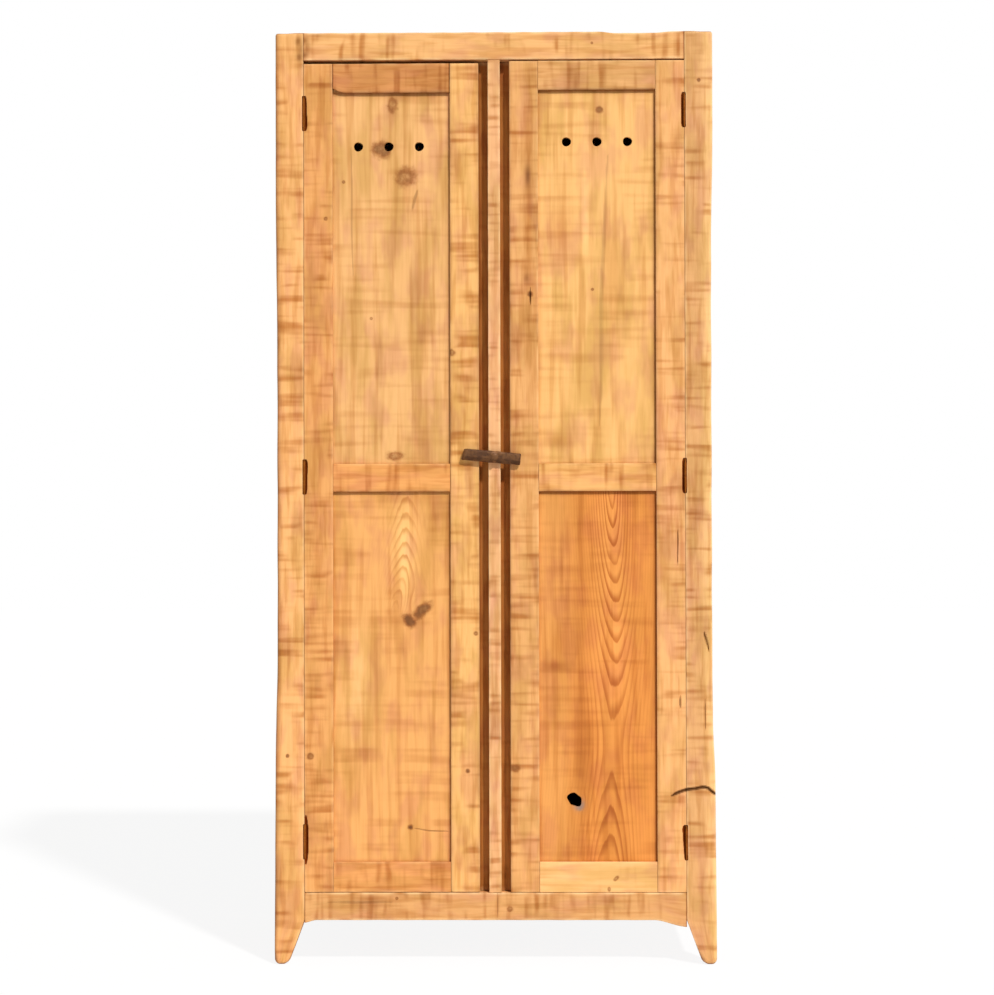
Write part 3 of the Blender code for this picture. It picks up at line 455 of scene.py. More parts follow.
def knotField(across, along, knots):
    # 1 at a knot's heart, 0 at its edge and below 0 outside, and how dark the nearest knot is
    field = np.full(across.shape, -1.0)
    dark = np.zeros(across.shape)
    for knot in knots:
        du, dw = across - knot["at"][0], along - knot["at"][1]
        turn = math.radians(knot["turn"])
        long = du * math.cos(turn) + dw * math.sin(turn)
        short = dw * math.cos(turn) - du * math.sin(turn)
        own = 1 - np.hypot(long / knot["radius"], short / (knot["radius"] * knot["squash"]))
        dark = np.where(own > field, knot["dark"], dark)
        field = np.maximum(field, own)
    return field, dark


wearing = {"width": 0.0032, "middle": 0.7, "swing": 0.5, "length": 0.06}


def arrisWear(points, low, high, seed):
    # paleness near an arris: falls off with the second smallest of a point's distances to the block's faces
    gaps = np.sort(np.minimum(points - low, high - points), axis=1)[:, 1]
    patches = wearing["middle"] + wearing["swing"] * ripple(seed, 3 * (wearing["length"],), *points.T)
    return np.exp(-(gaps / wearing["width"]) ** 2) * np.clip(patches, 0, 1)


# closer grid lines: how far round a mark they reach, counted in its own size, and the cells in that size
closeLines = {"knotReach": 1.25, "knotCells": 5, "crackReach": 2.5, "crackCells": 2, "straightCrack": 0.02,
              "dirtReach": 2, "dirtPitch": 0.7, "holeCells": 4}


def finerLines(form, grain, other):
    # stretches (from, to, pitch) of closer grid lines on each axis, over knots, dirt and painted shade,
    # holes, grooves and the cracks that run across or along the grain, and a sharp step at the ends of
    # grooves and pockets
    fine = {0: [], 1: [], 2: []}
    for knot in form["knots"]:
        size = closeLines["knotReach"] * knot["radius"]
        closer = max(form["finest"], knot["radius"] / closeLines["knotCells"])
        for axis, middle in zip((other, grain), knot["at"]):
            fine[axis].append((middle - size, middle + size, closer))
    for crack in form["cracks"]:
        size, closer = closeLines["crackReach"] * crack["width"], crack["width"] / closeLines["crackCells"]
        for axis, places in zip((other, grain), np.transpose(crack["path"])):
            if np.ptp(places) < closeLines["straightCrack"]:  # one that wanders more keeps the plain grid
                fine[axis].append((places.min() - size, places.max() + size, closer))
    for axis, place, width, strength in form["dirt"]:
        size = closeLines["dirtReach"] * width
        fine[axis].append((place - size, place + size, closeLines["dirtPitch"] * width))
    for hole in form["holes"]:
        half = hole["half"]
        for axis, centre in zip((0, 2), hole["centre"]):
            fine[axis].append((centre - half, centre + half, half / closeLines["holeCells"]))
    for relief in form["reliefs"]:
        for axis, middle in enumerate(relief["axis"]):
            fine[axis].append((middle - relief["radius"], middle + relief["radius"], form["finest"]))
        for end in (-1, 1):
            edge = relief["z"] + end * relief["half"]
            fine[2].append((*sorted((edge, edge + end * stepRun)), stepRun))
    for pocket in form["pockets"]:
        for axis, (start, end) in pocket["ranges"].items():
            fine[axis] += [(start - stepRun, start, stepRun), (end, end + stepRun, stepRun)]
    return fine


pocketFade = {"least": 1.5, "most": 3, "ofBoard": 0.6}  # in depths, and at most this share of the board


def pressPockets(points, grime, form, low, high, onFace):
    # a face is pressed in over a pocket's ranges, and the faces beside it are drawn along, fading out with
    # depth; a pocket without depth only has its grid lines and its grime
    for pocket in form["pockets"]:
        axis, end = pocket["face"]
        chosen = np.ones(len(points), bool)
        for key, (start, stop) in pocket["ranges"].items():
            chosen &= (points[:, key] > start - near) & (points[:, key] < stop + near)
        under = np.clip(end * ((low if end < 0 else high)[axis] - points[:, axis]), 0, None)
        least, most = (pocketFade[key] * pocket["depth"] for key in ("least", "most"))
        reach = max(least, min(most, pocketFade["ofBoard"] * (high - low)[axis])) + 1e-9
        points[:, axis] -= end * chosen * pocket["depth"] * np.clip(1 - under / reach, 0, 1)
        grime[chosen & onFace[axis, end]] = pocket["grime"]


def cutReliefs(points, grime, form):
    # a half-round groove along z, cut straight back; it is widest halfway up and closes at both ends,
    # square-ended for a high blunt and pointed for 2
    uncut = points.copy()
    for relief in form["reliefs"]:
        rise = (uncut[:, 2] - relief["z"]) / relief["half"]
        size = np.sqrt(np.clip(1 - np.abs(rise) ** relief["blunt"], 0, 1)) * (1 + relief["taper"] * rise)
        away, deep = (uncut[:, :2] - relief["axis"]).T
        cut = np.sqrt(np.clip((relief["radius"] * size) ** 2 - away ** 2, 0, None))
        reach = 2 * relief["radius"]
        pushed = uncut[:, 1] + cut * (1 - np.clip(deep, 0, reach) / reach)
        points[:, 1] = np.maximum(points[:, 1], pushed)
        # the cut is painted fully dark: painted shade in the slit's hollow
        grime[(cut > near) & (deep < cut)] = 1.0


crackForm = {"fullWidth": (0.3, 0.7), "faceDepth": 0.002, "sinks": (0, 0.7), "darkens": (0.05, 0.6)}


def openCracks(points, form, face, across, along, depth):
    # the face sinks along each crack's path, deepest on it and eased out to the width, which narrows to the
    # ends; how dark the cracks make each point comes back
    dark = np.zeros(len(points))
    for crack in form["cracks"]:
        gap, share = toPath(across, along, crack["path"])
        first, last = crack["ends"]
        wide = crack["width"] * np.interp(share, (0, *crackForm["fullWidth"], 1), (first, 1, 1, last))
        amount = np.clip(1 - gap / wide, 0, 1) * (depth < crackForm["faceDepth"])  # on the best face alone
        points[:, face] -= form["front"] * crack["depth"] * smooth(amount, *crackForm["sinks"])
        dark = np.maximum(dark, smooth(amount, *crackForm["darkens"]) * crack["dark"])
    return dark


def boardColour(own, form, across, along):
    # the board's own tone; a fade brings another one to its low side, as sapwood beside heartwood, and on the
    # right front post it leaves the outer side paler, a painted highlight; a stain is a patch of another one
    # that falls off as a bell curve
    colour = np.broadcast_to(linear(own), (len(across), 3))
    if "fade" in form:
        start, end, second = form["fade"]
        colour = linear(second) + smooth(across, start, end)[:, None] * (colour - linear(second))
    for (middle, level), (wide, tall), second in form["stains"]:
        share = np.exp(-((across - middle) / wide) ** 2 - ((along - level) / tall) ** 2)[:, None]
        colour = colour + share * (linear(second) - colour)
    return colour


# what a board has unless it is told otherwise: grid pitches in metres, front -1 or 1 for the side of the box
# that its best face is on, wave and back for how far that face wanders and stands back
plainBoard = {"arris": 0.0015, "along": 0.0045, "across": 0.0028, "through": 0.0035, "finest": 0.0011,
              "front": -1, "wave": 0.00012, "back": 0.0, "worn": 1.0, "jointed": False, "knots": [],
              "cracks": [], "dirt": [], "holes": [], "reliefs": [], "pockets": [], "stains": [], "tree": {}}
# how the arris and the face of every board wander, and how far from a shoulder or a hinge that begins
wornBoard = {"leastArris": 2.5e-4, "arrisSwing": 0.3, "arrisLength": 0.07, "waveLengths": (0.05, 0.09),
             "shoulder": (0, 0.006), "shoulderWear": (0.002, 0.012), "flatBeside": (0.003, 0.02)}
# the tree a board is sawn from: pith and lean are drawn from minus to plus these, depth between its two
anyTree = {"pith": 0.13, "depth": (0.03, 0.09), "lean": 0.02, "arch": 0.0, "bend": 0.1, "ring": 0.0095}
boardCount = 0


def addBoard(node, slot, grain, face, spans=None, **form):
    # grain and face are the axes the fibres run along and the best side looks along; spans replace the box's
    # own sides on an axis; the block's skin is shaped, rounded over, pressed in, cut, cracked and waved
    global boardCount
    boardCount += 1
    seed = 40 * boardCount
    rng = np.random.default_rng(seed)
    form = dict(plainBoard, **form)
    low, high = (np.array(corner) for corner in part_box(node))
    for axis, span in (spans or {}).items():
        low[axis], high[axis] = span
    other = 3 - grain - face
    pitch = {grain: form["along"], other: form["across"], face: form["through"]}
    fine = finerLines(form, grain, other)
    lines = [gridLines(low[axis], high[axis], pitch[axis], form["arris"], fine[axis]) for axis in range(3)]
    points, quads, ids, onFace = boxSkin(lines)

    across, along = points[:, other].copy(), points[:, grain].copy()
    depth = np.abs(points[:, face] - (low if form["front"] < 0 else high)[face])
    grime = np.zeros(len(points))
    # darker bands: dirt at joints and laps, and painted shade where the sun's shadow falls along edges and in
    # corners
    for axis, place, width, strength in form["dirt"]:
        grime = np.maximum(grime, strength * np.exp(-((points[:, axis] - place) / width) ** 2))
    wear = arrisWear(points, low, high, seed + 5) * form["worn"]

    bounds = form["shape"](points, low, high) if "shape" in form else (low, high)
    if "radius" in form:
        radius = form["radius"](points)
    else:
        swing = wornBoard["arrisSwing"] * ripple(seed + 2, (wornBoard["arrisLength"],), along)
        radius = form["arris"] * (1 + swing)
    if form["jointed"]:  # the shoulders of a tenoned piece stay sharp
        toEnd = np.minimum(along - low[grain], high[grain] - along)
        radius = radius * smooth(toEnd, *wornBoard["shoulder"])
        wear = wear * smooth(toEnd, *wornBoard["shoulderWear"])
    points = roundOver(points, *bounds, np.maximum(radius, wornBoard["leastArris"]))
    pressPockets(points, grime, form, low, high, onFace)
    cutReliefs(points, grime, form)
    crack = openCracks(points, form, face, across, along, depth)
    wave = form["wave"] * ripple(seed + 3, wornBoard["waveLengths"], across, along) + form["back"]
    if "flatFrom" in form:  # no waviness beside the hinges, where the door folds back on the post
        wave = wave * smooth(np.abs(across - form["flatFrom"]), *wornBoard["flatBeside"])
    points[:, face] += wave
    for hole in form["holes"]:
        points, quads = openHole(points, quads, ids, lines, hole)

    middle = (low + high) / 2
    pith = middle[other] + rng.uniform(-anyTree["pith"], anyTree["pith"])
    tree = dict(anyTree, pith=pith, depth=rng.uniform(*anyTree["depth"]))
    tree["lean"] = rng.uniform(-anyTree["lean"], anyTree["lean"])
    tree = {**tree, "from": middle[grain], **form["tree"]}
    offset = rng.uniform(-9, 9, 3)  # no two boards show the same part of the noise
    figure = np.ones(len(points))
    if "figured" in form:  # the rings stand out near one line along the board, above a given place
        line, width, least, most, start, end = form["figured"]
        share = np.exp(-((across - line) / width) ** 2) * smooth(along, start, end)
        figure = least + (most - least) * share
    knot, dark = knotField(across, along, form["knots"])
    values = {
        "ring": growthRings(across, depth, along, tree, form["knots"], seed + 4), "knot": knot, "dark": dark,
        "figure": figure, "crack": crack, "grime": grime, "wear": wear,
        "endGrain": (onFace[grain, -1] | onFace[grain, 1]).astype(float),
        "tone": boardColour(boardTones.get(node, tones[slot]), form, across, along),
        "grain": np.stack([across, depth, along], 1) + offset,
    }
    addPiece(node + ".timber", points, quads, node, pines[slot], values)


# Places and joints shared by the boards, taken from the solids

sides = {"left": -1, "right": 1}
levels = ("bottom", "middle", "top")
parts = ("lower", "upper")
grooveSides = {"bottom": (1,), "middle": (-1, 1), "top": (-1,)}  # which edges of a rail hold a panel
grooveDepth, grooveGrime = 0.0083, 0.6
seat = 0.0003  # the gap that neighbouring boards keep
room = 0.001  # the room that a panel has at its ends


def edgeOf(node, end, axis):  # one side of a solid's box: end -1 is its low side, 1 its high side
    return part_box(node)[0 if end < 0 else 1][axis]


def extent(node, axis, margin=0.0):  # both sides of a solid's box, moved out by a margin
    return edgeOf(node, -1, axis) - margin, edgeOf(node, 1, axis) + margin


def corners(points, low, high):  # the low and the high corner of the block, once for each point
    return (np.broadcast_to(corner, points.shape).copy() for corner in (low, high))


front = edgeOf("left_hinge_stile", -1, 1)
postInner = edgeOf("front_post_right", -1, 0)
hinge = {"half": 0.0333, "leafDepth": 0.0023, "leafEnd": 0.0163, "plate": 0.002,
         "plateFrom": (0.0024, 0.0044),  # from the axis, beside its own barrel and beside the other one
         "barrel": 0.0022, "barrelTip": 0.45, "tipRun": 0.014, "mouth": 0.94, "mouthArris": 0.0004,
         "pin": 0.0014, "pinTop": 0.024, "pinPoint": 0.0006, "bore": 0.0016, "split": 0.0002,
         "screw": 0.0026, "screwAt": 0.0102, "screwPitch": 0.023, "screwGrid": 0.0032, "screwRing": 0.0003,
         "screwSlot": (0.0005, 0.0006), "slotTurns": (0.7, 1.9), "plateGrid": (25, 40, 14),
         "barrelSteps": 20, "barrelDents": (0.02, 0.012), "tipFrom": 0.001, "pinTip": 0.7,
         "slitHalf": 0.0345, "slitDirt": (0.0012, 0.45), "close": 0.00025,
         "slit": {"barrel": (0.0, 0.0024, 20), "stile": (0.0022, 0.0044, 8)},  # set in by, radius, blunt
         "gap": postInner - edgeOf("right_hinge_stile", 1, 0)}
hinge["axis"] = (postInner - hinge["gap"] / 2, front)
hingeAt = {(side, level): sum(extent(f"{side}_{level}_hinge_frame_leaf", 2)) / 2
           for side in sides for level in levels}


def slit(kind, sign, z, **change):  # the groove that clears a hinge's barrel, or the wider one on the stile
    inward, radius, blunt = hinge["slit"][kind]
    return {"axis": (sign * (hinge["axis"][0] - inward), hinge["axis"][1]), "z": z, "half": hinge["slitHalf"],
            "radius": radius, "blunt": blunt, "taper": 0, **change}


def leafPocket(toward, z):  # the shallow bed of a hinge's leaf, in the face that looks toward -x or +x
    return {"face": (0, toward), "depth": hinge["leafDepth"], "grime": 1.0,
            "ranges": {1: (front, front + hinge["leafEnd"]), 2: (z - hinge["half"], z + hinge["half"])}}


def groove(axis, end, ranges, depth=grooveDepth):  # the groove that holds a panel
    return {"face": (axis, end), "depth": depth, "grime": grooveGrime, "ranges": ranges}


# Posts

post = {"tip": 0.026, "foot": 0.086, "footRound": 0.0105, "roundHeight": 0.03, "arris": 0.0045,
        "gridArris": 0.0042, "innerArris": 0.0003, "arrisGrows": (0.012, 0.034), "splay": 0.004,
        "splayHeight": 0.62, "rebate": 0.0123, "rebateFrom": 0.0857, "wave": 0.0003,
        "edgeDirt": (0.0070, 0.6), "across": 0.003, "along": {"front": 0.005, "rear": 0.012},
        "arrisSwing": (0.2, 0.14), "hollowSwing": (0.15, 0.16),  # share and wavelength
        # the worn hollow: how deep, then where it begins and is full below, and where it ends above
        "hollow": {"left": (0.0026, 0.40, 0.60, 1.15, 1.50), "right": (0.0036, 0.35, 0.47, 1.35, 1.62)},
        "tree": {"pith": 0.47, "depth": 0.05, "ring": 0.0085}}
postMarks = {
    "front_post_left": {
        "knots": [knotAt(-0.402, 0.402, 0.004, dark=0.6)],
        "stains": [((-0.3785, 1.784), (0.0065, 0.008), "#94602A"),
                   ((-0.3765, 1.7535), (0.0055, 0.007), "#8E5A28"),
                   ((-0.373, 1.769), (0.007, 0.016), "#BC8248")]},
    "front_post_right": {
        # the fade leaves the outer side paler: a painted highlight where the arris faces the sun
        "knots": [knotAt(0.398, 1.705, 0.004, dark=0.6)], "fade": (0.398, 0.418, "#D6A067"),
        "cracks": [crackOn([(0.3686, 0.3365), (0.3775, 0.3377), (0.3863, 0.3385), (0.393, 0.340),
                            (0.3997, 0.3414), (0.4055, 0.341), (0.4112, 0.3395), (0.4189, 0.3328),
                            (0.425, 0.3285)], 0.0044, 0.004, ends=(1.0, 0.8)),
                   crackOn([(0.407, 0.640), (0.413, 0.622), (0.418, 0.606)], 0.0035, 0.004, 0.5),
                   crackOn([(0.409, 0.457), (0.409, 0.510)], 0.0016, 0.002, 0.4)]},
    "rear_post_left": {"knots": [knotAt(-0.40, 1.21, 0.008), knotAt(-0.395, 0.48, 0.006)]},
    "rear_post_right": {"knots": [knotAt(0.392, 0.86, 0.009, dark=0.5)]}}


def postShape(side, end):
    sign, toward = sides[side], 1 if end == "front" else -1

    def shape(points, low, high):
        # width and depth narrow in a straight line from the foot's top to its tip, from the two inner sides;
        # the outer side splays near the floor, and a long worn hollow draws it in halfway up
        x, y, z = points.T
        boxInner, boxOuter = (low[0], high[0]) if sign > 0 else (high[0], low[0])
        innerY, outerY = (high[1], low[1]) if end == "front" else (low[1], high[1])
        splay = post["splay"] * np.clip(1 - z / post["splayHeight"], 0, 1)
        most, *heights = post["hollow"][side]
        hollow = most * smooth(z, *heights[:2]) * (1 - smooth(z, *heights[2:])) * (end == "front")
        swing, length = post["hollowSwing"]
        hollow = hollow * (1 + swing * ripple(21, (length,), z))
        outerX = sign * (abs(boxOuter) - post["splay"] + splay - hollow)
        if end == "front":
            innerX = boxInner - sign * hinge["close"] * (z > post["foot"])
        else:  # a rebate for the back boards
            rebated = (y > edgeOf("back_board_1", -1, 1) - seat - near) & (z > post["rebateFrom"] - near)
            innerX = boxInner + sign * post["rebate"] * rebated
        share = np.clip(z / post["foot"], 0, 1)
        innerAt = innerX + (outerX - sign * post["tip"] - innerX) * (1 - share)
        innerYAt = innerY + (outerY + toward * post["tip"] - innerY) * (1 - share)
        t = np.abs(x - boxInner) / (high[0] - low[0])
        s = (y - outerY) / (innerY - outerY)
        points[:, 0] = innerAt + t * (outerX - innerAt)
        points[:, 1] = outerY + s * (innerYAt - outerY)
        lows, highs = corners(points, low, high)
        lows[:, 0], highs[:, 0] = np.minimum(innerAt, outerX), np.maximum(innerAt, outerX)
        lows[:, 1], highs[:, 1] = np.minimum(outerY, innerYAt), np.maximum(outerY, innerYAt)
        return lows, highs

    def radius(points):
        # wide worn arrises on the outer side, tight ones beside the door, round tips at the floor
        outward = smooth(np.abs(points[:, 0]), *(postInner + grown for grown in post["arrisGrows"]))
        swing, length = post["arrisSwing"]
        worn = post["arris"] * (1 + swing * ripple(11 * sign + 16, (length,), points[:, 2]))
        base = post["innerArris"] + (worn - post["innerArris"]) * outward
        tip = 1 - smooth(points[:, 2], 0.0, post["roundHeight"])
        return base + (post["footRound"] - base) * tip

    return shape, radius


def buildPosts():
    for node, marks in postMarks.items():
        end, side = node.split("_post_")
        sign, facing = sides[side], 1 if end == "front" else -1
        hingeX = sign * hinge["axis"][0]
        shape, radius = postShape(side, end)
        panelX = extent(f"side_lower_panel_{side}", 0, seat)
        pockets = [groove(1, facing, {0: panelX, 2: extent(f"side_{part}_panel_{side}", 2, room)})
                   for part in parts]
        reliefs, dirt = [], []
        if end == "front":
            pockets += [leafPocket(-sign, hingeAt[side, level]) for level in levels]
            reliefs = [slit("barrel", sign, hingeAt[side, level]) for level in levels]
            dirt = [(0, hingeX, *hinge["slitDirt"])]
        else:  # grid lines and a little grime at the rebate, which the shape has
            rebate = {1: (edgeOf("back_board_1", -1, 1) - seat, math.inf), 2: (post["rebateFrom"], math.inf)}
            pockets.append({"face": (0, -sign), "depth": 0.0, "grime": 0.3, "ranges": rebate})
        # painted shade along the left post's outer arris, which faces away from the sun
        if node == "front_post_left":
            dirt.append((0, edgeOf(node, -1, 0), *post["edgeDirt"]))
        tree = dict(post["tree"], pith=sign * post["tree"]["pith"])
        addBoard(node, "frame_pine", 2, 1, shape=shape, radius=radius, arris=post["gridArris"],
                 wave=post["wave"], pockets=pockets, reliefs=reliefs, dirt=dirt, front=-facing,
                 flatFrom=hingeX, across=post["across"], along=post["along"][end], tree=tree, **marks)


# Rails of the carcass; their grain lies level, so their marks are given as (z, x)

rail = {"arris": 0.002, "wave": 0.0003, "worn": 1.5, "sweepDrop": {"left": 0.005, "right": 0.013},
        "sweepRun": {"left": 0.024, "right": 0.064}, "dip": (0.20, 0.345, 0.0028),  # from, to, depth
        "endDirt": {"left": (0.0016, 0.6), "right": (0.0016, 0.8)},
        "rearGrid": {"along": 0.012, "across": 0.006}, "sideGrid": {"along": 0.006, "across": 0.0035}}
carcassPanel = {"bottom": "floor_panel", "top": "top_panel"}


def sweptShape(points, low, high):
    # the lower edge runs down towards each post in an eased S-curve
    x, z = points[:, 0], points[:, 2]
    drop = np.zeros(len(points))
    for side, sign in sides.items():
        drop += rail["sweepDrop"][side] * smooth(sign * x, postInner - rail["sweepRun"][side], postInner)
    points[:, 2] = z - drop * (high[2] - z) / (high[2] - low[2])
    lows, highs = corners(points, low, high)
    lows[:, 2] -= drop
    return lows, highs


def dippedShape(points, low, high):
    # a stretch of the upper edge is worn hollow, eased in and out
    x, z = points[:, 0], points[:, 2]
    start, end, most = rail["dip"]
    ease = (end - start) / 4
    drop = most * smooth(x, start, start + ease) * (1 - smooth(x, end - ease, end))
    points[:, 2] = z - drop * (z - low[2]) / (high[2] - low[2])
    lows, highs = corners(points, low, high)
    highs[:, 2] -= drop
    return lows, highs


railMarks = {
    "bottom": {"shape": sweptShape, "knots": [knotAt(0.108, 0.028, 0.006), knotAt(0.128, -0.19, 0.003)],
               "cracks": [crackOn([(0.121, -0.322), (0.1205, -0.26), (0.121, -0.20)], 0.0034, 0.0004, 0.35),
                          crackOn([(0.092, 0.004), (0.137, 0.004)], 0.0014, 0.0006, 0.4)]},
    "top": {"shape": dippedShape, "knots": [knotAt(1.778, 0.19, 0.003)],
            "stains": [((1.772, -0.3610), (0.013, 0.0060), "#AC743C"),
                       ((1.757, -0.3655), (0.007, 0.007), "#98622E"),
                       ((1.785, -0.366), (0.007, 0.007), "#A06832")]}}


def buildRails():
    x = (-postInner + seat, postInner - seat)
    for level, panel in carcassPanel.items():
        panelZ = extent(panel, 2, seat)
        spans = {0: x}
        if level == "bottom":  # level with the lower edge of the side rails
            spans[2] = (edgeOf("side_bottom_rail_left", -1, 2), edgeOf("bottom_rail_front", 1, 2))
        dirt = [(0, x[1], *rail["endDirt"]["right"]), (0, x[0], *rail["endDirt"]["left"])]
        addBoard(f"{level}_rail_front", "frame_pine", 0, 1, spans, arris=rail["arris"], wave=rail["wave"],
                 jointed=True, worn=rail["worn"], dirt=dirt, pockets=[groove(1, 1, {2: panelZ})],
                 **railMarks[level])
        addBoard(f"{level}_rail_rear", "frame_pine", 0, 1, {0: x}, arris=rail["arris"], jointed=True, front=1,
                 pockets=[groove(1, -1, {2: panelZ})], **rail["rearGrid"])
    for side, sign in sides.items():
        y = (edgeOf(f"front_post_{side}", 1, 1) + seat, edgeOf(f"rear_post_{side}", -1, 1) - seat)
        panelX = extent(f"side_lower_panel_{side}", 0, seat)
        for level in levels:
            node = f"side_{level}_rail_{side}"
            pockets = [groove(2, end, {0: panelX}) for end in grooveSides[level]]
            if level in carcassPanel:
                panel = carcassPanel[level]
                depth = abs(edgeOf(panel, sign, 0)) - abs(edgeOf(node, -sign, 0)) + room
                pockets.append(groove(0, -sign, {2: extent(panel, 2, seat)}, depth))
            addBoard(node, "frame_pine", 1, 0, {1: y}, arris=rail["arris"], wave=rail["wave"], jointed=True,
                     pockets=pockets, front=sign, **rail["sideGrid"])


# Panels

panelForm = {"arris": 0.001, "through": 0.004}
panelShadeAndDirt = {  # painted shade above and on the right, where rail and stile shadow the panel from the sun, and grime in the corners of the frame: how wide, and on the left and below also how strong
    "above": 0.0060, "right": 0.0055, "left": (0.003, 0.12), "below": (0.003, 0.2)}
sidePanel = {"across": 0.004, "along": 0.008, "finest": 0.0025, "tree": {"depth": 0.035, "lean": 0.03}}
sideKnots = {"count": 4, "margins": (0.03, 0.05), "radii": (0.005, 0.014), "squash": 0.7}
vent = {"radius": 0.009, "pitch": 0.059, "half": 0.0070, "reach": 0.014, "outOfRound": 0.03,
        "belowTop": {"left": 0.159, "right": 0.155}, "shift": {"left": -0.0045, "right": 0.0007}}
knotHole = {"at": (0.153, 0.317), "long": 0.0155, "short": 0.0118, "turn": -48, "half": 0.0095,
            "reach": 0.024, "dirt": (0.166, 0.011, 0.15), "broken": (0.06, 0.04)}


def panelSpan(side):  # between a door's stiles, from low to high
    sign = sides[side]
    return sorted((edgeOf(f"{side}_meeting_stile", sign, 0), edgeOf(f"{side}_hinge_stile", -sign, 0)))


def ventRim(angle):  # a drilled rim's radius at an angle, a little out of round
    return vent["radius"] * (1 + vent["outOfRound"] * np.sin(3 * angle + 1))


def knotRim(angle):
    # an oval's radius at an angle, with the rim broken a little
    turn = math.radians(knotHole["turn"])
    oval = np.hypot(np.cos(angle - turn) / knotHole["long"], np.sin(angle - turn) / knotHole["short"])
    fine, coarser = knotHole["broken"]
    return (1 + fine * np.sin(5 * angle) + coarser * np.sin(2 * angle + 2)) / oval


# slot, how dark it is painted above and on the right, as shade with some grime, then its marks; figured: the
# line along the board where rings stand out, how wide, the least and the most of it, and where it begins and
# is full
doorPanels = {
    ("left", "upper"): {
        "slot": "panel_pine", "dust": (0.72, 0.45),
        "knots": [knotAt(-0.216, 1.574, 0.021, 0.9, dark=0.5), knotAt(-0.171, 1.521, 0.022, 0.9, 30, 0.15),
                  knotAt(-0.196, 1.660, 0.017, 0.65, 90, 0.1), knotAt(-0.192, 0.981, 0.018, 0.5, dark=0.1),
                  knotAt(-0.291, 1.512, 0.0035, dark=0.4), knotAt(-0.238, 1.247, 0.003)],
        "cracks": [crackOn([(-0.2765, 1.578), (-0.275, 1.50), (-0.2755, 1.42), (-0.273, 1.33)],
                           0.0024, 0.0, 0.32),
                   crackOn([(-0.1472, 1.4965), (-0.1527, 1.480), (-0.158, 1.458)], 0.0042, 0.0, 0.42)],
        "tree": {"pith": -0.176, "depth": 0.030, "lean": 0.012, "arch": 0.03, "bend": 0.15, "from": 1.36,
                 "ring": 0.0115}},
    ("left", "lower"): {
        "slot": "panel_pine", "dust": (0.45, 0.45), "figured": (-0.174, 0.021, 0.5, 10.0, 0.66, 0.73),
        "knots": [knotAt(-0.166, 0.662, 0.0165, 0.75, -50, 0.8), knotAt(-0.141, 0.682, 0.0255, 0.45, 42, 0.7),
                  knotAt(-0.164, 0.264, 0.0065, dark=0.9)],
        "cracks": [crackOn([(-0.156, 0.262), (-0.128, 0.257), (-0.092, 0.256)], 0.0018, 0.0008, 0.6)],
        "tree": {"pith": -0.174, "depth": 0.014, "lean": 0.20, "from": 0.729, "ring": 0.0046},
        "stains": [((-0.202, 0.718), (0.008, 0.008), "#CE8C4C"), ((-0.205, 0.679), (0.007, 0.007), "#CE8C4C"),
                   ((-0.174, 0.80), (0.018, 0.085), "#F2BE76"), ((-0.266, 0.53), (0.035, 0.13), "#ECB474")]},
    ("right", "upper"): {
        "slot": "panel_pine", "dust": (0.80, 0.65),
        "knots": [knotAt(0.2045, 1.650, 0.0075, dark=0.4), knotAt(0.19, 1.302, 0.003)],
        "cracks": [crackOn([(0.220, 1.560), (0.2144, 1.434), (0.2066, 1.280), (0.2066, 1.126),
                            (0.2027, 1.039)], 0.0052, 0.0, 0.26)],
        "stains": [((0.1775, 1.45), (0.008, 0.12), "#F2BE78"), ((0.157, 1.20), (0.007, 0.09), "#F2BE78"),
                   ((0.128, 1.42), (0.028, 0.045), "#DCA05E"), ((0.120, 1.01), (0.030, 0.014), "#CE9250")],
        "tree": {"pith": 0.205, "depth": 0.05, "lean": 0.018, "from": 1.2, "ring": 0.0125}},
    ("right", "lower"): {
        "slot": "red_pine", "dust": (0.65, 0.65), "fade": (0.110, 0.180, "#DA964E"),
        "figured": (0.226, 0.036, 0.14, 1.15, 0.0, 0.1),
        "tree": {"pith": 0.226, "depth": 0.0596, "lean": 0.0, "arch": 0.137, "from": 0.406, "ring": 0.0048},
        "stains": [((0.224, 0.68), (0.026, 0.20), "#EC9E52"), ((0.166, 0.43), (0.014, 0.09), "#C27430"),
                   ((0.161, 0.307), (0.009, 0.009), "#9A8278"), ((0.113, 0.775), (0.006, 0.070), "#C98442"),
                   ((0.128, 0.740), (0.005, 0.110), "#C98442"), ((0.140, 0.690), (0.006, 0.090), "#C47D3C"),
                   ((0.120, 0.575), (0.030, 0.010), "#B46C2E"), ((0.130, 0.62), (0.022, 0.035), "#CE863E")]},
}


def someKnots(node, seed, axes, count, margins, radii, squash=None):
    # knots scattered over a board by chance, clear of its edges by the margins; axes are across and along,
    # and without a squash each knot draws its own
    rng = np.random.default_rng(seed)
    low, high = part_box(node)
    across, along = ((low[axis] + margin, high[axis] - margin) for axis, margin in zip(axes, margins))
    return [knotAt(rng.uniform(*across), rng.uniform(*along), rng.uniform(*radii),
                   squash or rng.uniform(0.6, 1)) for number in range(count)]


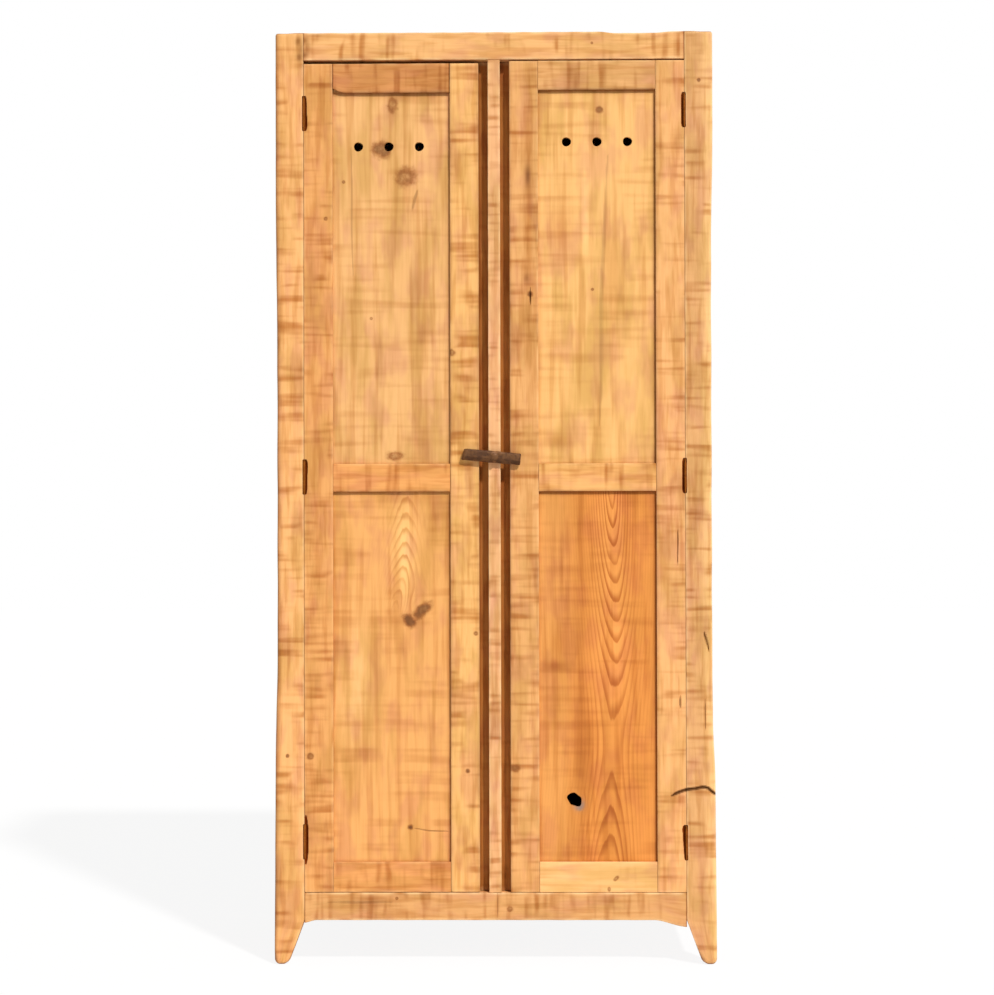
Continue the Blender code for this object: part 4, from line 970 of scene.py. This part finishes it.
def buildPanels():
    for (side, part), form in doorPanels.items():
        form = dict(form)
        x = panelSpan(side)
        below, above = ("bottom", "middle") if part == "lower" else ("middle", "top")
        z = (edgeOf(f"{side}_door_{below}_rail", 1, 2), edgeOf(f"{side}_door_{above}_rail", -1, 2))
        strongAbove, strongRight = form.pop("dust")
        # painted shade, with grime, under the rail above and beside the stile on the right; grime alone on
        # the left and below
        dirt = [(2, z[1], panelShadeAndDirt["above"], strongAbove), (0, x[1], panelShadeAndDirt["right"], strongRight),
                (0, x[0], *panelShadeAndDirt["left"]), (2, z[0], *panelShadeAndDirt["below"])]
        holes = []
        if part == "upper":
            middle = sum(x) / 2 + vent["shift"][side]
            level = edgeOf(f"{side}_hinge_stile", 1, 2) - vent["belowTop"][side]
            holes = [{"centre": (middle + number * vent["pitch"], level), "half": vent["half"],
                      "reach": vent["reach"], "rim": ventRim} for number in (-1, 0, 1)]
        elif side == "right":
            holes = [{"centre": knotHole["at"], "half": knotHole["half"], "reach": knotHole["reach"],
                      "rim": knotRim}]
            dirt.append((0, *knotHole["dirt"]))
        addBoard(f"{side}_{part}_panel", form.pop("slot"), 2, 1, dirt=dirt, holes=holes, **panelForm, **form)
    seed = 11
    for side, sign in sides.items():
        for part in parts:
            node = f"side_{part}_panel_{side}"
            knots = someKnots(node, seed, (1, 2), **sideKnots)
            addBoard(node, "panel_pine", 2, 0, front=sign, knots=knots, **panelForm, **sidePanel)
            seed += 1


# Doors

door = {"arris": {"hinge": 0.0003, "meeting": 0.0013, "rail": 0.0011}, "worn": 0.5, "stileWave": 0.00014,
        "railWave": 0.0002, "chip": (0.0085, 0.027), "chipDirt": (0.0016, 0.9), "edgeDirt": (0.004, 0.3),
        "meetingDirt": (0.0035, 0.35),
        # how far the frame stands out below and above its solid
        "below": {"left": 0.0018, "right": 0.0}, "above": 0.0010,
        # the lowest slit on the left is a longer gouge, pointed at both ends; others are a bit wedge-shaped
        "slits": {("left", "bottom"): {"half": 0.048, "radius": 0.0056, "blunt": 2},
                  ("left", "top"): {"taper": -0.2}, ("left", "middle"): {"taper": 0.15},
                  ("right", "bottom"): {"taper": 0.5}},
        "slitLift": {("left", "bottom"): 0.004}}


def chippedShape(points, low, high):
    # the lower edge is broken away towards the low end: it rises there as the square of the distance left
    height, run = door["chip"]
    lift = height * np.clip(1 - (points[:, 0] - low[0]) / run, 0, 1) ** 2
    points[:, 2] += lift * (high[2] - points[:, 2]) / (high[2] - low[2])
    lows, highs = corners(points, low, high)
    lows[:, 2] += lift
    return lows, highs


doorMarks = {  # places are (x, z) on a stile and (z, x) on a rail
    "left_hinge_stile": {"knots": [knotAt(-0.356, 0.402, 0.007), knotAt(-0.325, 1.44, 0.004)]},
    "left_meeting_stile": {"knots": [knotAt(-0.082, 1.180, 0.007), knotAt(-0.037, 0.638, 0.005),
                                     knotAt(-0.0528, 0.373, 0.005, dark=0.7)]},
    "right_meeting_stile": {
        "knots": [knotAt(0.0376, 0.379, 0.011, 0.8, dark=0.3), knotAt(0.0696, 1.293, 0.006, dark=0.7)],
        "cracks": [crackOn([(0.0700, 1.272), (0.0697, 1.302)], 0.0018, 0.002)],
        "stains": [((0.0672, 1.44), (0.0075, 0.19), "#C08040"), ((0.0655, 1.522), (0.0055, 0.022), "#8E5A2A"),
                   ((0.0630, 1.3235), (0.006, 0.009), "#A8703A")]},
    "right_hinge_stile": {
        "cracks": [crackOn([(0.352, 0.771), (0.353, 0.84)], 0.0018, 0.002, 0.75),
                   crackOn([(0.3565, 0.493), (0.3562, 0.516)], 0.0026, 0.002, 0.7),
                   crackOn([(0.3393, 0.3250), (0.3465, 0.3286), (0.3537, 0.3318), (0.361, 0.3344),
                            (0.3682, 0.3364)], 0.0044, 0.004, ends=(0.4, 1.0))]},
    "right_door_bottom_rail": {
        "knots": [knotAt(0.1665, 0.2326, 0.007, 0.6, 45), knotAt(0.146, 0.219, 0.005, 0.7)]},
    "left_door_top_rail": {"shape": chippedShape}}


def buildStile(side, kind, grooveY):
    node, sign = f"{side}_{kind}_stile", sides[side]
    hingeX = sign * hinge["axis"][0]
    inward = -sign if kind == "hinge" else sign
    spans = {2: (edgeOf(node, -1, 2) - door["below"][side], edgeOf(node, 1, 2) + door["above"])}
    pockets = [groove(0, inward, {1: grooveY, 2: extent(f"{side}_{part}_panel", 2, room)}) for part in parts]
    # painted shade, with a little grime, along a stile's left edge, which faces away from the sun
    dirt = [(0, edgeOf(node, -1, 0), *door["edgeDirt"])] if inward < 0 else []
    reliefs = []
    if kind == "meeting":
        # darker along the edge beside the mullion's groove
        dirt.append((0, edgeOf(node, -sign, 0), *door["meetingDirt"]))
    else:
        for level in levels:
            z = hingeAt[side, level]
            lift, change = door["slitLift"].get((side, level), 0), door["slits"].get((side, level), {})
            pockets.append(leafPocket(sign, z))
            reliefs += [slit("barrel", sign, z), slit("stile", sign, z + lift, **change)]
        dirt.append((0, hingeX, *hinge["slitDirt"]))
        spans[0] = sorted((edgeOf(node, -sign, 0), edgeOf(node, sign, 0) + sign * hinge["close"]))
    addBoard(node, "frame_pine", 2, 1, spans, arris=door["arris"][kind], wave=door["stileWave"],
             worn=door["worn"], pockets=pockets, reliefs=reliefs, dirt=dirt, flatFrom=hingeX,
             **doorMarks.get(node, {}))


def buildDoors():
    grooveY = extent("left_lower_panel", 1, seat)
    for side in sides:
        for kind in ("hinge", "meeting"):
            buildStile(side, kind, grooveY)
        low, high = panelSpan(side)
        x = (low + seat, high - seat)
        for level in levels:
            node = f"{side}_door_{level}_rail"
            slot = "pale_pine" if node == "right_door_bottom_rail" else "frame_pine"
            low, high = extent(node, 2)
            # painted shade, with a little grime, along the lower edge of the middle and top rails, which
            # faces down from the sun
            dirt = [] if level == "bottom" else [(2, low, *door["edgeDirt"])]
            if node == "left_door_top_rail":
                dirt += [(0, place, *door["chipDirt"]) for place in x]
            z = (low - door["below"][side] * (level == "bottom"), high + door["above"] * (level == "top"))
            pockets = [groove(2, end, {1: grooveY}) for end in grooveSides[level]]
            addBoard(node, slot, 0, 1, {0: x, 2: z}, arris=door["arris"]["rail"], wave=door["railWave"],
                     worn=door["worn"], jointed=True, pockets=pockets, dirt=dirt, **doorMarks.get(node, {}))


# Mullion, its stop, and the boards inside

mullion = {"arris": 0.0013, "wave": 0.0002, "stopArris": 0.0015, "stopBack": 0.0004, "stopAlong": 0.008,
           # the stop is the floor of a groove either side: place, width and strength of painted shade over
           # the left part of each groove, where the sun from the right reaches
           "dirt": [(-0.0285, 0.0042, 0.55), (0.0150, 0.0042, 0.42)]}
backBoard = {"lap": 0.008, "dirt": (0.005, 0.55)}  # how far they lie over each other, and the dirt there
insideKnots = {"count": 5, "margins": (0.02, 0.04), "radii": (0.004, 0.013)}
coarse = {"across": 0.006, "along": 0.012, "through": 0.005, "arris": 0.0012, "wave": 0.0004, "finest": 0.003}


def buildMullion():
    z = (edgeOf("bottom_rail_front", 1, 2) + seat, edgeOf("top_rail_front", -1, 2) - seat)
    addBoard("centre_mullion", "frame_pine", 2, 1, {2: z}, arris=mullion["arris"], wave=mullion["wave"],
             jointed=True)
    addBoard("mullion_stop", "dark_stain", 2, 1, arris=mullion["stopArris"], wave=mullion["wave"],
             along=mullion["stopAlong"], back=mullion["stopBack"],
             dirt=[(0, *dirt) for dirt in mullion["dirt"]])


def notchedShape(points, low, high):
    # past the posts' inner faces the panel is drawn in to the space between the front and rear posts
    notch = (edgeOf("front_post_left", 1, 1) + room, edgeOf("rear_post_left", -1, 1) - room)
    past = np.abs(points[:, 0]) > postInner - room
    share = (points[:, 1] - low[1]) / (high[1] - low[1])
    points[past, 1] = notch[0] + share[past] * (notch[1] - notch[0])
    lows, highs = corners(points, low, high)
    lows[past, 1], highs[past, 1] = notch
    return lows, highs


def lappedShape(number):
    def shape(points, low, high):
        # the rear half of a board lies a lap further over, so its edges step across at mid thickness
        rear = points[:, 1] > (low[1] + high[1]) / 2
        share = (points[:, 0] - low[0]) / (high[0] - low[0])
        lows, highs = corners(points, low, high)
        lows[rear, 0] += backBoard["lap"] * (number > 1)
        highs[~rear, 0] -= backBoard["lap"] * (number < 4)
        points[:, 0] = lows[:, 0] + share * (highs[:, 0] - lows[:, 0])
        return lows, highs

    return shape


def addInside(node, grain, face, **form):  # a knotty board; its knots' seed comes from its name
    knots = someKnots(node, len(node) * 31 + ord(node[-1]), (3 - grain - face, grain), **insideKnots)
    addBoard(node, "board_pine", grain, face, front=1, knots=knots, **form, **coarse)


def buildBoards():
    # the pockets without depth bring grid lines to where a notch or a lap steps
    notch = {"face": (2, 1), "depth": 0.0, "grime": 0.0, "ranges": {0: (-postInner + room, postInner - room)}}
    for node in ("top_panel", "floor_panel"):
        addInside(node, 0, 2, shape=notchedShape, pockets=[notch])
    for part in parts:
        addInside(f"shelf_{part}", 0, 2)
        for side, sign in sides.items():
            addBoard(f"shelf_cleat_{part}_{side}", "board_pine", 1, 0, front=-sign, **coarse)
    for number in range(1, 5):
        node = f"back_board_{number}"
        low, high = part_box(node)
        middle = (low.y + high.y) / 2
        lapped = {"face": (0, 1), "depth": 0.0, "grime": 0.0, "ranges": {1: (middle, middle)}}
        joints = [(0, place, *backBoard["dirt"]) for place in (low.x + backBoard["lap"], high.x)]
        addInside(node, 2, 1, shape=lappedShape(number), pockets=[lapped], dirt=joints)


# Ironwork: lift-off hinges and the turn button; sizes are millimetres, limits where a mark begins and is full

rustedIron = {"scale": "#7A4212", "rust": "#8A4C18", "rub": "#84491C", "pit": "#54290C", "metal": 0.0,
              "shine": 0.05, "roughness": (0.75, 0.92), "bump": 0.5,
              "sizes": {"rust": 9, "rub": 5, "pit": 1.6}}
forgedIron = {"scale": "#4E2F17", "rust": "#65401F", "rub": "#805634", "pit": "#22130A", "metal": 0.2,
              "shine": 0.3, "roughness": (0.42, 0.66), "bump": 0.6,
              "sizes": {"rust": 16, "rub": 22, "pit": 2.4}}
iron = {"limits": {"rust": (0.44, 0.62), "rub": (0.50, 0.66), "pit": (0.60, 0.72)}, "detail": 3.0,
        "rustDulls": 3, "bumpHeight": 0.0004}


def ironMaterial(name, look):
    # old iron: dull dark scale with brown rust in clouds, paler where hands rub it, and small dark pits
    made, tree, shader = startMaterial(name)
    place = addNode(tree, "TexCoord", out=3)
    colour, mask = (*linear(look["scale"]), 1), {}
    for key, (low, high) in iron["limits"].items():
        scale = 1000 / look["sizes"][key]  # noise cells in a metre
        noise = addNode(tree, "TexNoise", {"Vector": place, "Scale": scale, "Detail": iron["detail"]})
        mask[key] = addNode(tree, "MapRange", {0: noise, 1: low, 2: high}, interpolation_type="SMOOTHSTEP")
        colour = addNode(tree, "Mix", {0: mask[key], 6: colour, 7: (*linear(look[key]), 1)}, out=2,
                         data_type="RGBA")
    dulled = look["metal"] / iron["rustDulls"]
    metal = addNode(tree, "MapRange", {0: mask["rust"], 3: look["metal"], 4: dulled})
    smoothest, roughest = look["roughness"]
    rough = addNode(tree, "MapRange", {0: mask["rub"], 3: roughest, 4: smoothest})
    height = addNode(tree, "Math", {0: mask["pit"], 1: -1.0, 2: mask["rust"]}, operation="MULTIPLY_ADD")
    bump = addNode(tree, "Bump", {"Strength": look["bump"], "Distance": iron["bumpHeight"], "Height": height})
    setInputs(tree, shader, {"Base Color": colour, "Metallic": metal, "Specular IOR Level": look["shine"],
                             "Roughness": rough, "Normal": bump})
    return made


irons = {"rusted_iron": ironMaterial("wrought_iron_rusted", rustedIron),
         "forged_iron": ironMaterial("forged_iron_waxed", forgedIron)}
print("iron materials:", len(irons))


def addIron(node, slot, shells):
    # several closed surfaces in one mesh
    starts = np.cumsum([0] + [len(points) for points, quads in shells[:-1]])
    points = np.concatenate([points for points, quads in shells])
    quads = np.concatenate([quads + start for (_, quads), start in zip(shells, starts)])
    addPiece(node + ".iron", points, quads, node, irons[slot], sharp=32)


barGrid, boreEdge = 5, 8e-3  # lines from a bar's middle to its side, and the run of its bore's edge


def roundBar(profile, bore=None):
    # a closed round bar upright on the origin: the skin of a square block, where a point at square distance s
    # goes to radius s times the profile's radius at its height; bore is (radius share, depth) sunk into the
    # lower end
    profile = np.asarray(profile, float)
    flat = np.linspace(0, 1, barGrid)
    if bore:
        flat = np.concatenate([flat, [bore[0], bore[0] + boreEdge]])
    flat = np.unique(np.concatenate([flat, -flat]))
    points, quads, _, onFace = boxSkin([flat, flat, profile[:, 0]])
    size = np.interp(points[:, 2], profile[:, 0], profile[:, 1])
    square = np.abs(points[:, :2]).max(1)
    points[:, :2] *= (square * size / (np.hypot(*points[:, :2].T) + 1e-9))[:, None]
    if bore:
        points[onFace[2, -1] & (square < bore[0] + boreEdge / 2), 2] += bore[1]
    return points, quads


def leafPlate(side, onDoor, z):
    # a thin plate beside the axis, cut back from the other leaf's barrel, with three countersunk screws:
    # round each screw a ring is sunk in its face, and a slot across it
    flip = -1 if onDoor else 1
    toward = sides[side] * flip
    inner = sides[side] * hinge["axis"][0] + toward * hinge["gap"] / 2
    x = np.array(sorted((inner, inner + toward * hinge["plate"])))
    half, split = hinge["half"] - seat, hinge["split"]
    screws = [number * hinge["screwPitch"] for number in (-1, 0, 1)]
    wide, tall, atScrew = hinge["plateGrid"]
    lines = [np.linspace(-half, half, tall), (-split, -split + stepRun)]
    lines += [screw + np.linspace(-hinge["screwGrid"], hinge["screwGrid"], atScrew) for screw in screws]
    points, quads = boxSkin([x, np.linspace(0, 1, wide), np.unique(np.round(np.concatenate(lines), 7))])[:2]
    ownEnd, otherEnd = hinge["plateFrom"]
    low = np.where(points[:, 2] < -split + near, ownEnd, otherEnd)
    points[:, 1] = low + points[:, 1] * (hinge["leafEnd"] - seat - low)
    sunk = np.zeros(len(points))
    (slotHalf, slotDepth), (firstTurn, nextTurn) = hinge["screwSlot"], hinge["slotTurns"]
    for number, screw in enumerate(screws):
        dy, dz = points[:, 1] - hinge["screwAt"], points[:, 2] - screw
        turn, away = firstTurn + nextTurn * number, np.hypot(dy, dz)  # each slot stopped at another angle
        ring = np.exp(-((away - hinge["screw"]) / hinge["screwRing"]) ** 2) * hinge["screwRing"]
        slot = (np.abs(dy * math.cos(turn) + dz * math.sin(turn)) < slotHalf) & (away < hinge["screw"])
        sunk = np.maximum(sunk, np.maximum(ring, slotDepth * slot))
    face = np.abs(points[:, 0] - inner) < near
    points[face, 0] += toward * sunk[face]
    points[:, 1] += front
    points[:, 2] = z + flip * points[:, 2]
    return points, quads if flip > 0 else quads[:, ::-1]


def buildHinges():
    # the lower barrel with its pin is on the post, the upper one with its bore is on the door; a barrel
    # narrows to its outer end in an eased curve
    half, split, barrel, pin, pinTop = (hinge[key] for key in ("half", "split", "barrel", "pin", "pinTop"))
    half, mouth, tip = half - seat, hinge["mouth"] * barrel, hinge["barrelTip"]
    steps = np.linspace(-half, -split - hinge["mouthArris"], hinge["barrelSteps"])
    worn = barrel * (tip + (1 - tip) * smooth(steps, -half - hinge["tipFrom"], -half + hinge["tipRun"]))
    dent, length = hinge["barrelDents"]
    worn = worn * (1 - dent * ripple(3, (length,), steps) ** 2)
    lower = [*zip(steps, worn), (-split, mouth)]
    upper = [(-place, radius) for place, radius in lower[::-1]]
    lower += [(-split + near, pin), (pinTop - hinge["pinPoint"], pin), (pinTop, hinge["pinTip"] * pin)]
    bore = (hinge["bore"] / mouth, pinTop + seat - split)
    for (side, level), z in hingeAt.items():
        middle = np.array([sides[side] * hinge["axis"][0], front, z])
        for label, profile, hole in (("frame", lower, None), ("door", upper, bore)):
            points, quads = roundBar(profile, hole)
            addIron(f"{side}_{level}_hinge_{label}_leaf", "rusted_iron",
                    [(points + middle, quads), leafPlate(side, label == "door", z)])


button = {"left": 0.0635, "right": 0.0505, "middle": 0.0235, "end": 0.0225, "tilt": 5.4, "dent": 0.00035,
          "chamfer": 0.0036, "backChamfer": 0.0012, "backDepth": 0.0045, "chamferPower": 1.35,
          "slant": 0.0040, "slantRun": 0.02, "bevel": (0.0030, 0.0085, 0.0055),  # below middle, height, depth
          "bore": 0.0043, "boreHalf": 0.0032, "boreReach": 0.008, "boss": 0.010, "bossHeight": 0.0035,
          "bossArris": 0.0005, "bossSunk": 0.001, "bossSteps": 48, "shaft": 0.004, "head": 0.0065,
          "dome": 0.92, "pitch": (0.0016, 0.0018, 0.0016), "chamferSwing": (0.2, 0.03),  # share, wavelength
          "faceDents": (0.016, 0.02), "edgeDents": (0.018, 0.03), "edgeFrom": (0.006, 0.010),
          "dentsFrom": 0.002, "domeFrom": 0.25, "domeSteps": 7}


def buttonBar(faceY, back):
    # a bar whose height falls off in a straight line from the pivot to both ends, chamfered and hammered, its
    # face bevelled back in a straight line below and its left end cut on a slant, with a round bore
    half, middle = button["boreHalf"], button["middle"]
    low = np.array([-button["left"], faceY, -middle / 2])
    high = np.array([button["right"], back, middle / 2])
    atBore = [(-half, half, half / closeLines["holeCells"])]
    fine = [atBore, [], atBore]
    lines = [gridLines(low[axis], high[axis], button["pitch"][axis], button["chamfer"], fine[axis])
             for axis in range(3)]
    points, quads, ids = boxSkin(lines)[:3]
    reach = np.where(points[:, 0] < 0, button["left"], button["right"])
    taper = 1 - (1 - button["end"] / middle) * np.abs(points[:, 0]) / reach
    points[:, 2] *= taper
    lows, highs = corners(points, low, high)
    lows[:, 2], highs[:, 2] = low[2] * taper, high[2] * taper
    radius = np.where(points[:, 1] > back - button["backDepth"], button["backChamfer"], button["chamfer"])
    swing, length = button["chamferSwing"]
    radius = radius * (1 + swing * ripple(5, (length,), points[:, 0]))
    points = roundOver(points, lows, highs, radius, button["chamferPower"])
    start, rise, depth = button["bevel"]
    frontness = (back - points[:, 1]) / (back - faceY)
    points[:, 1] += depth * frontness * np.clip((-points[:, 2] - start) / rise, 0, 1)
    toEnd = smooth(-points[:, 0], button["left"] - button["slantRun"], button["left"])
    points[:, 0] += button["slant"] * toEnd * (points[:, 2] / middle + 0.5)
    inFront = points[:, 1] < back - button["dentsFrom"]
    points[:, 1] += button["dent"] * (1 + ripple(6, button["faceDents"], *points[:, ::2].T)) * inFront
    outer = np.sign(points[:, 2]) * smooth(np.abs(points[:, 2]), *button["edgeFrom"])
    points[:, 2] -= outer * button["dent"] * (1 + ripple(7, button["edgeDents"], *points[:, :2].T))
    hole = {"centre": (0.0, 0.0), "half": half, "reach": button["boreReach"],
            "rim": lambda angle: button["bore"]}
    return openHole(points, quads, ids, lines, hole)


def buttonBoss(back, bossBack):
    # a square-cornered section carried round the pivot in a ring
    start, bore, boss, arris = back - button["bossSunk"], button["bore"], button["boss"], button["bossArris"]
    section = np.array([(bore, start), (bore, bossBack), (boss - arris, bossBack), (boss, bossBack - arris),
                        (boss, start)])
    angle = np.linspace(0, math.tau, button["bossSteps"], endpoint=False)
    shape = (len(angle), len(section))
    points = np.stack([np.outer(np.cos(angle), section[:, 0]), np.broadcast_to(section[:, 1], shape),
                       np.outer(np.sin(angle), section[:, 0])], -1)
    grid = np.arange(len(angle) * len(section)).reshape(shape)
    across, along = np.roll(grid, -1, 1), np.roll(grid, -1, 0)
    quads = np.stack([grid, across, np.roll(across, -1, 0), along], -1)
    return points.reshape(-1, 3), quads.reshape(-1, 4)[:, ::-1]


def buildButton():
    faceY, bossBack = extent("turn_button", 1)
    back = bossBack - button["bossHeight"]
    pivotZ = sum(extent("button_pivot", 2)) / 2
    tilt = math.radians(button["tilt"])
    turn = np.array([(math.cos(tilt), 0, math.sin(tilt)), (0, 1, 0), (-math.sin(tilt), 0, math.cos(tilt))])
    addIron("turn_button", "forged_iron", [(points @ turn.T + (0, 0, pivotZ), quads) for points, quads
                                           in (buttonBar(faceY, back), buttonBoss(back, bossBack))])

    # the pivot is a round bar, turned to lie along y; its head is a dome, an ellipse cut off before its rim
    headFront, shaftEnd = extent("button_pivot", 1)
    under = faceY - seat
    dome = [(under - (under - headFront) * math.sqrt(1 - button["dome"] * share ** 2), button["head"] * share)
            for share in np.linspace(button["domeFrom"], 1, button["domeSteps"])]
    shaft = [(under - near, button["head"]), (under, button["shaft"]), (shaftEnd, button["shaft"])]
    points, quads = roundBar(dome + shaft)
    points = np.stack([points[:, 0], points[:, 2], -points[:, 1] + pivotZ], 1)
    addIron("button_pivot", "forged_iron", [(points, quads)])


placeCamera()
buildStudio()
print("camera and studio placed")
buildPosts()
buildRails()
print("carcass frame:", boardCount, "boards")
buildPanels()
buildDoors()
print("with panels and doors:", boardCount, "boards")
buildMullion()
buildBoards()
print("with mullion and inside:", boardCount, "boards")
buildHinges()
buildButton()
print("ironwork:", len(hingeAt), "hinges and the turn button")

scene = bpy.context.scene
scene.view_settings.view_transform = "Standard"
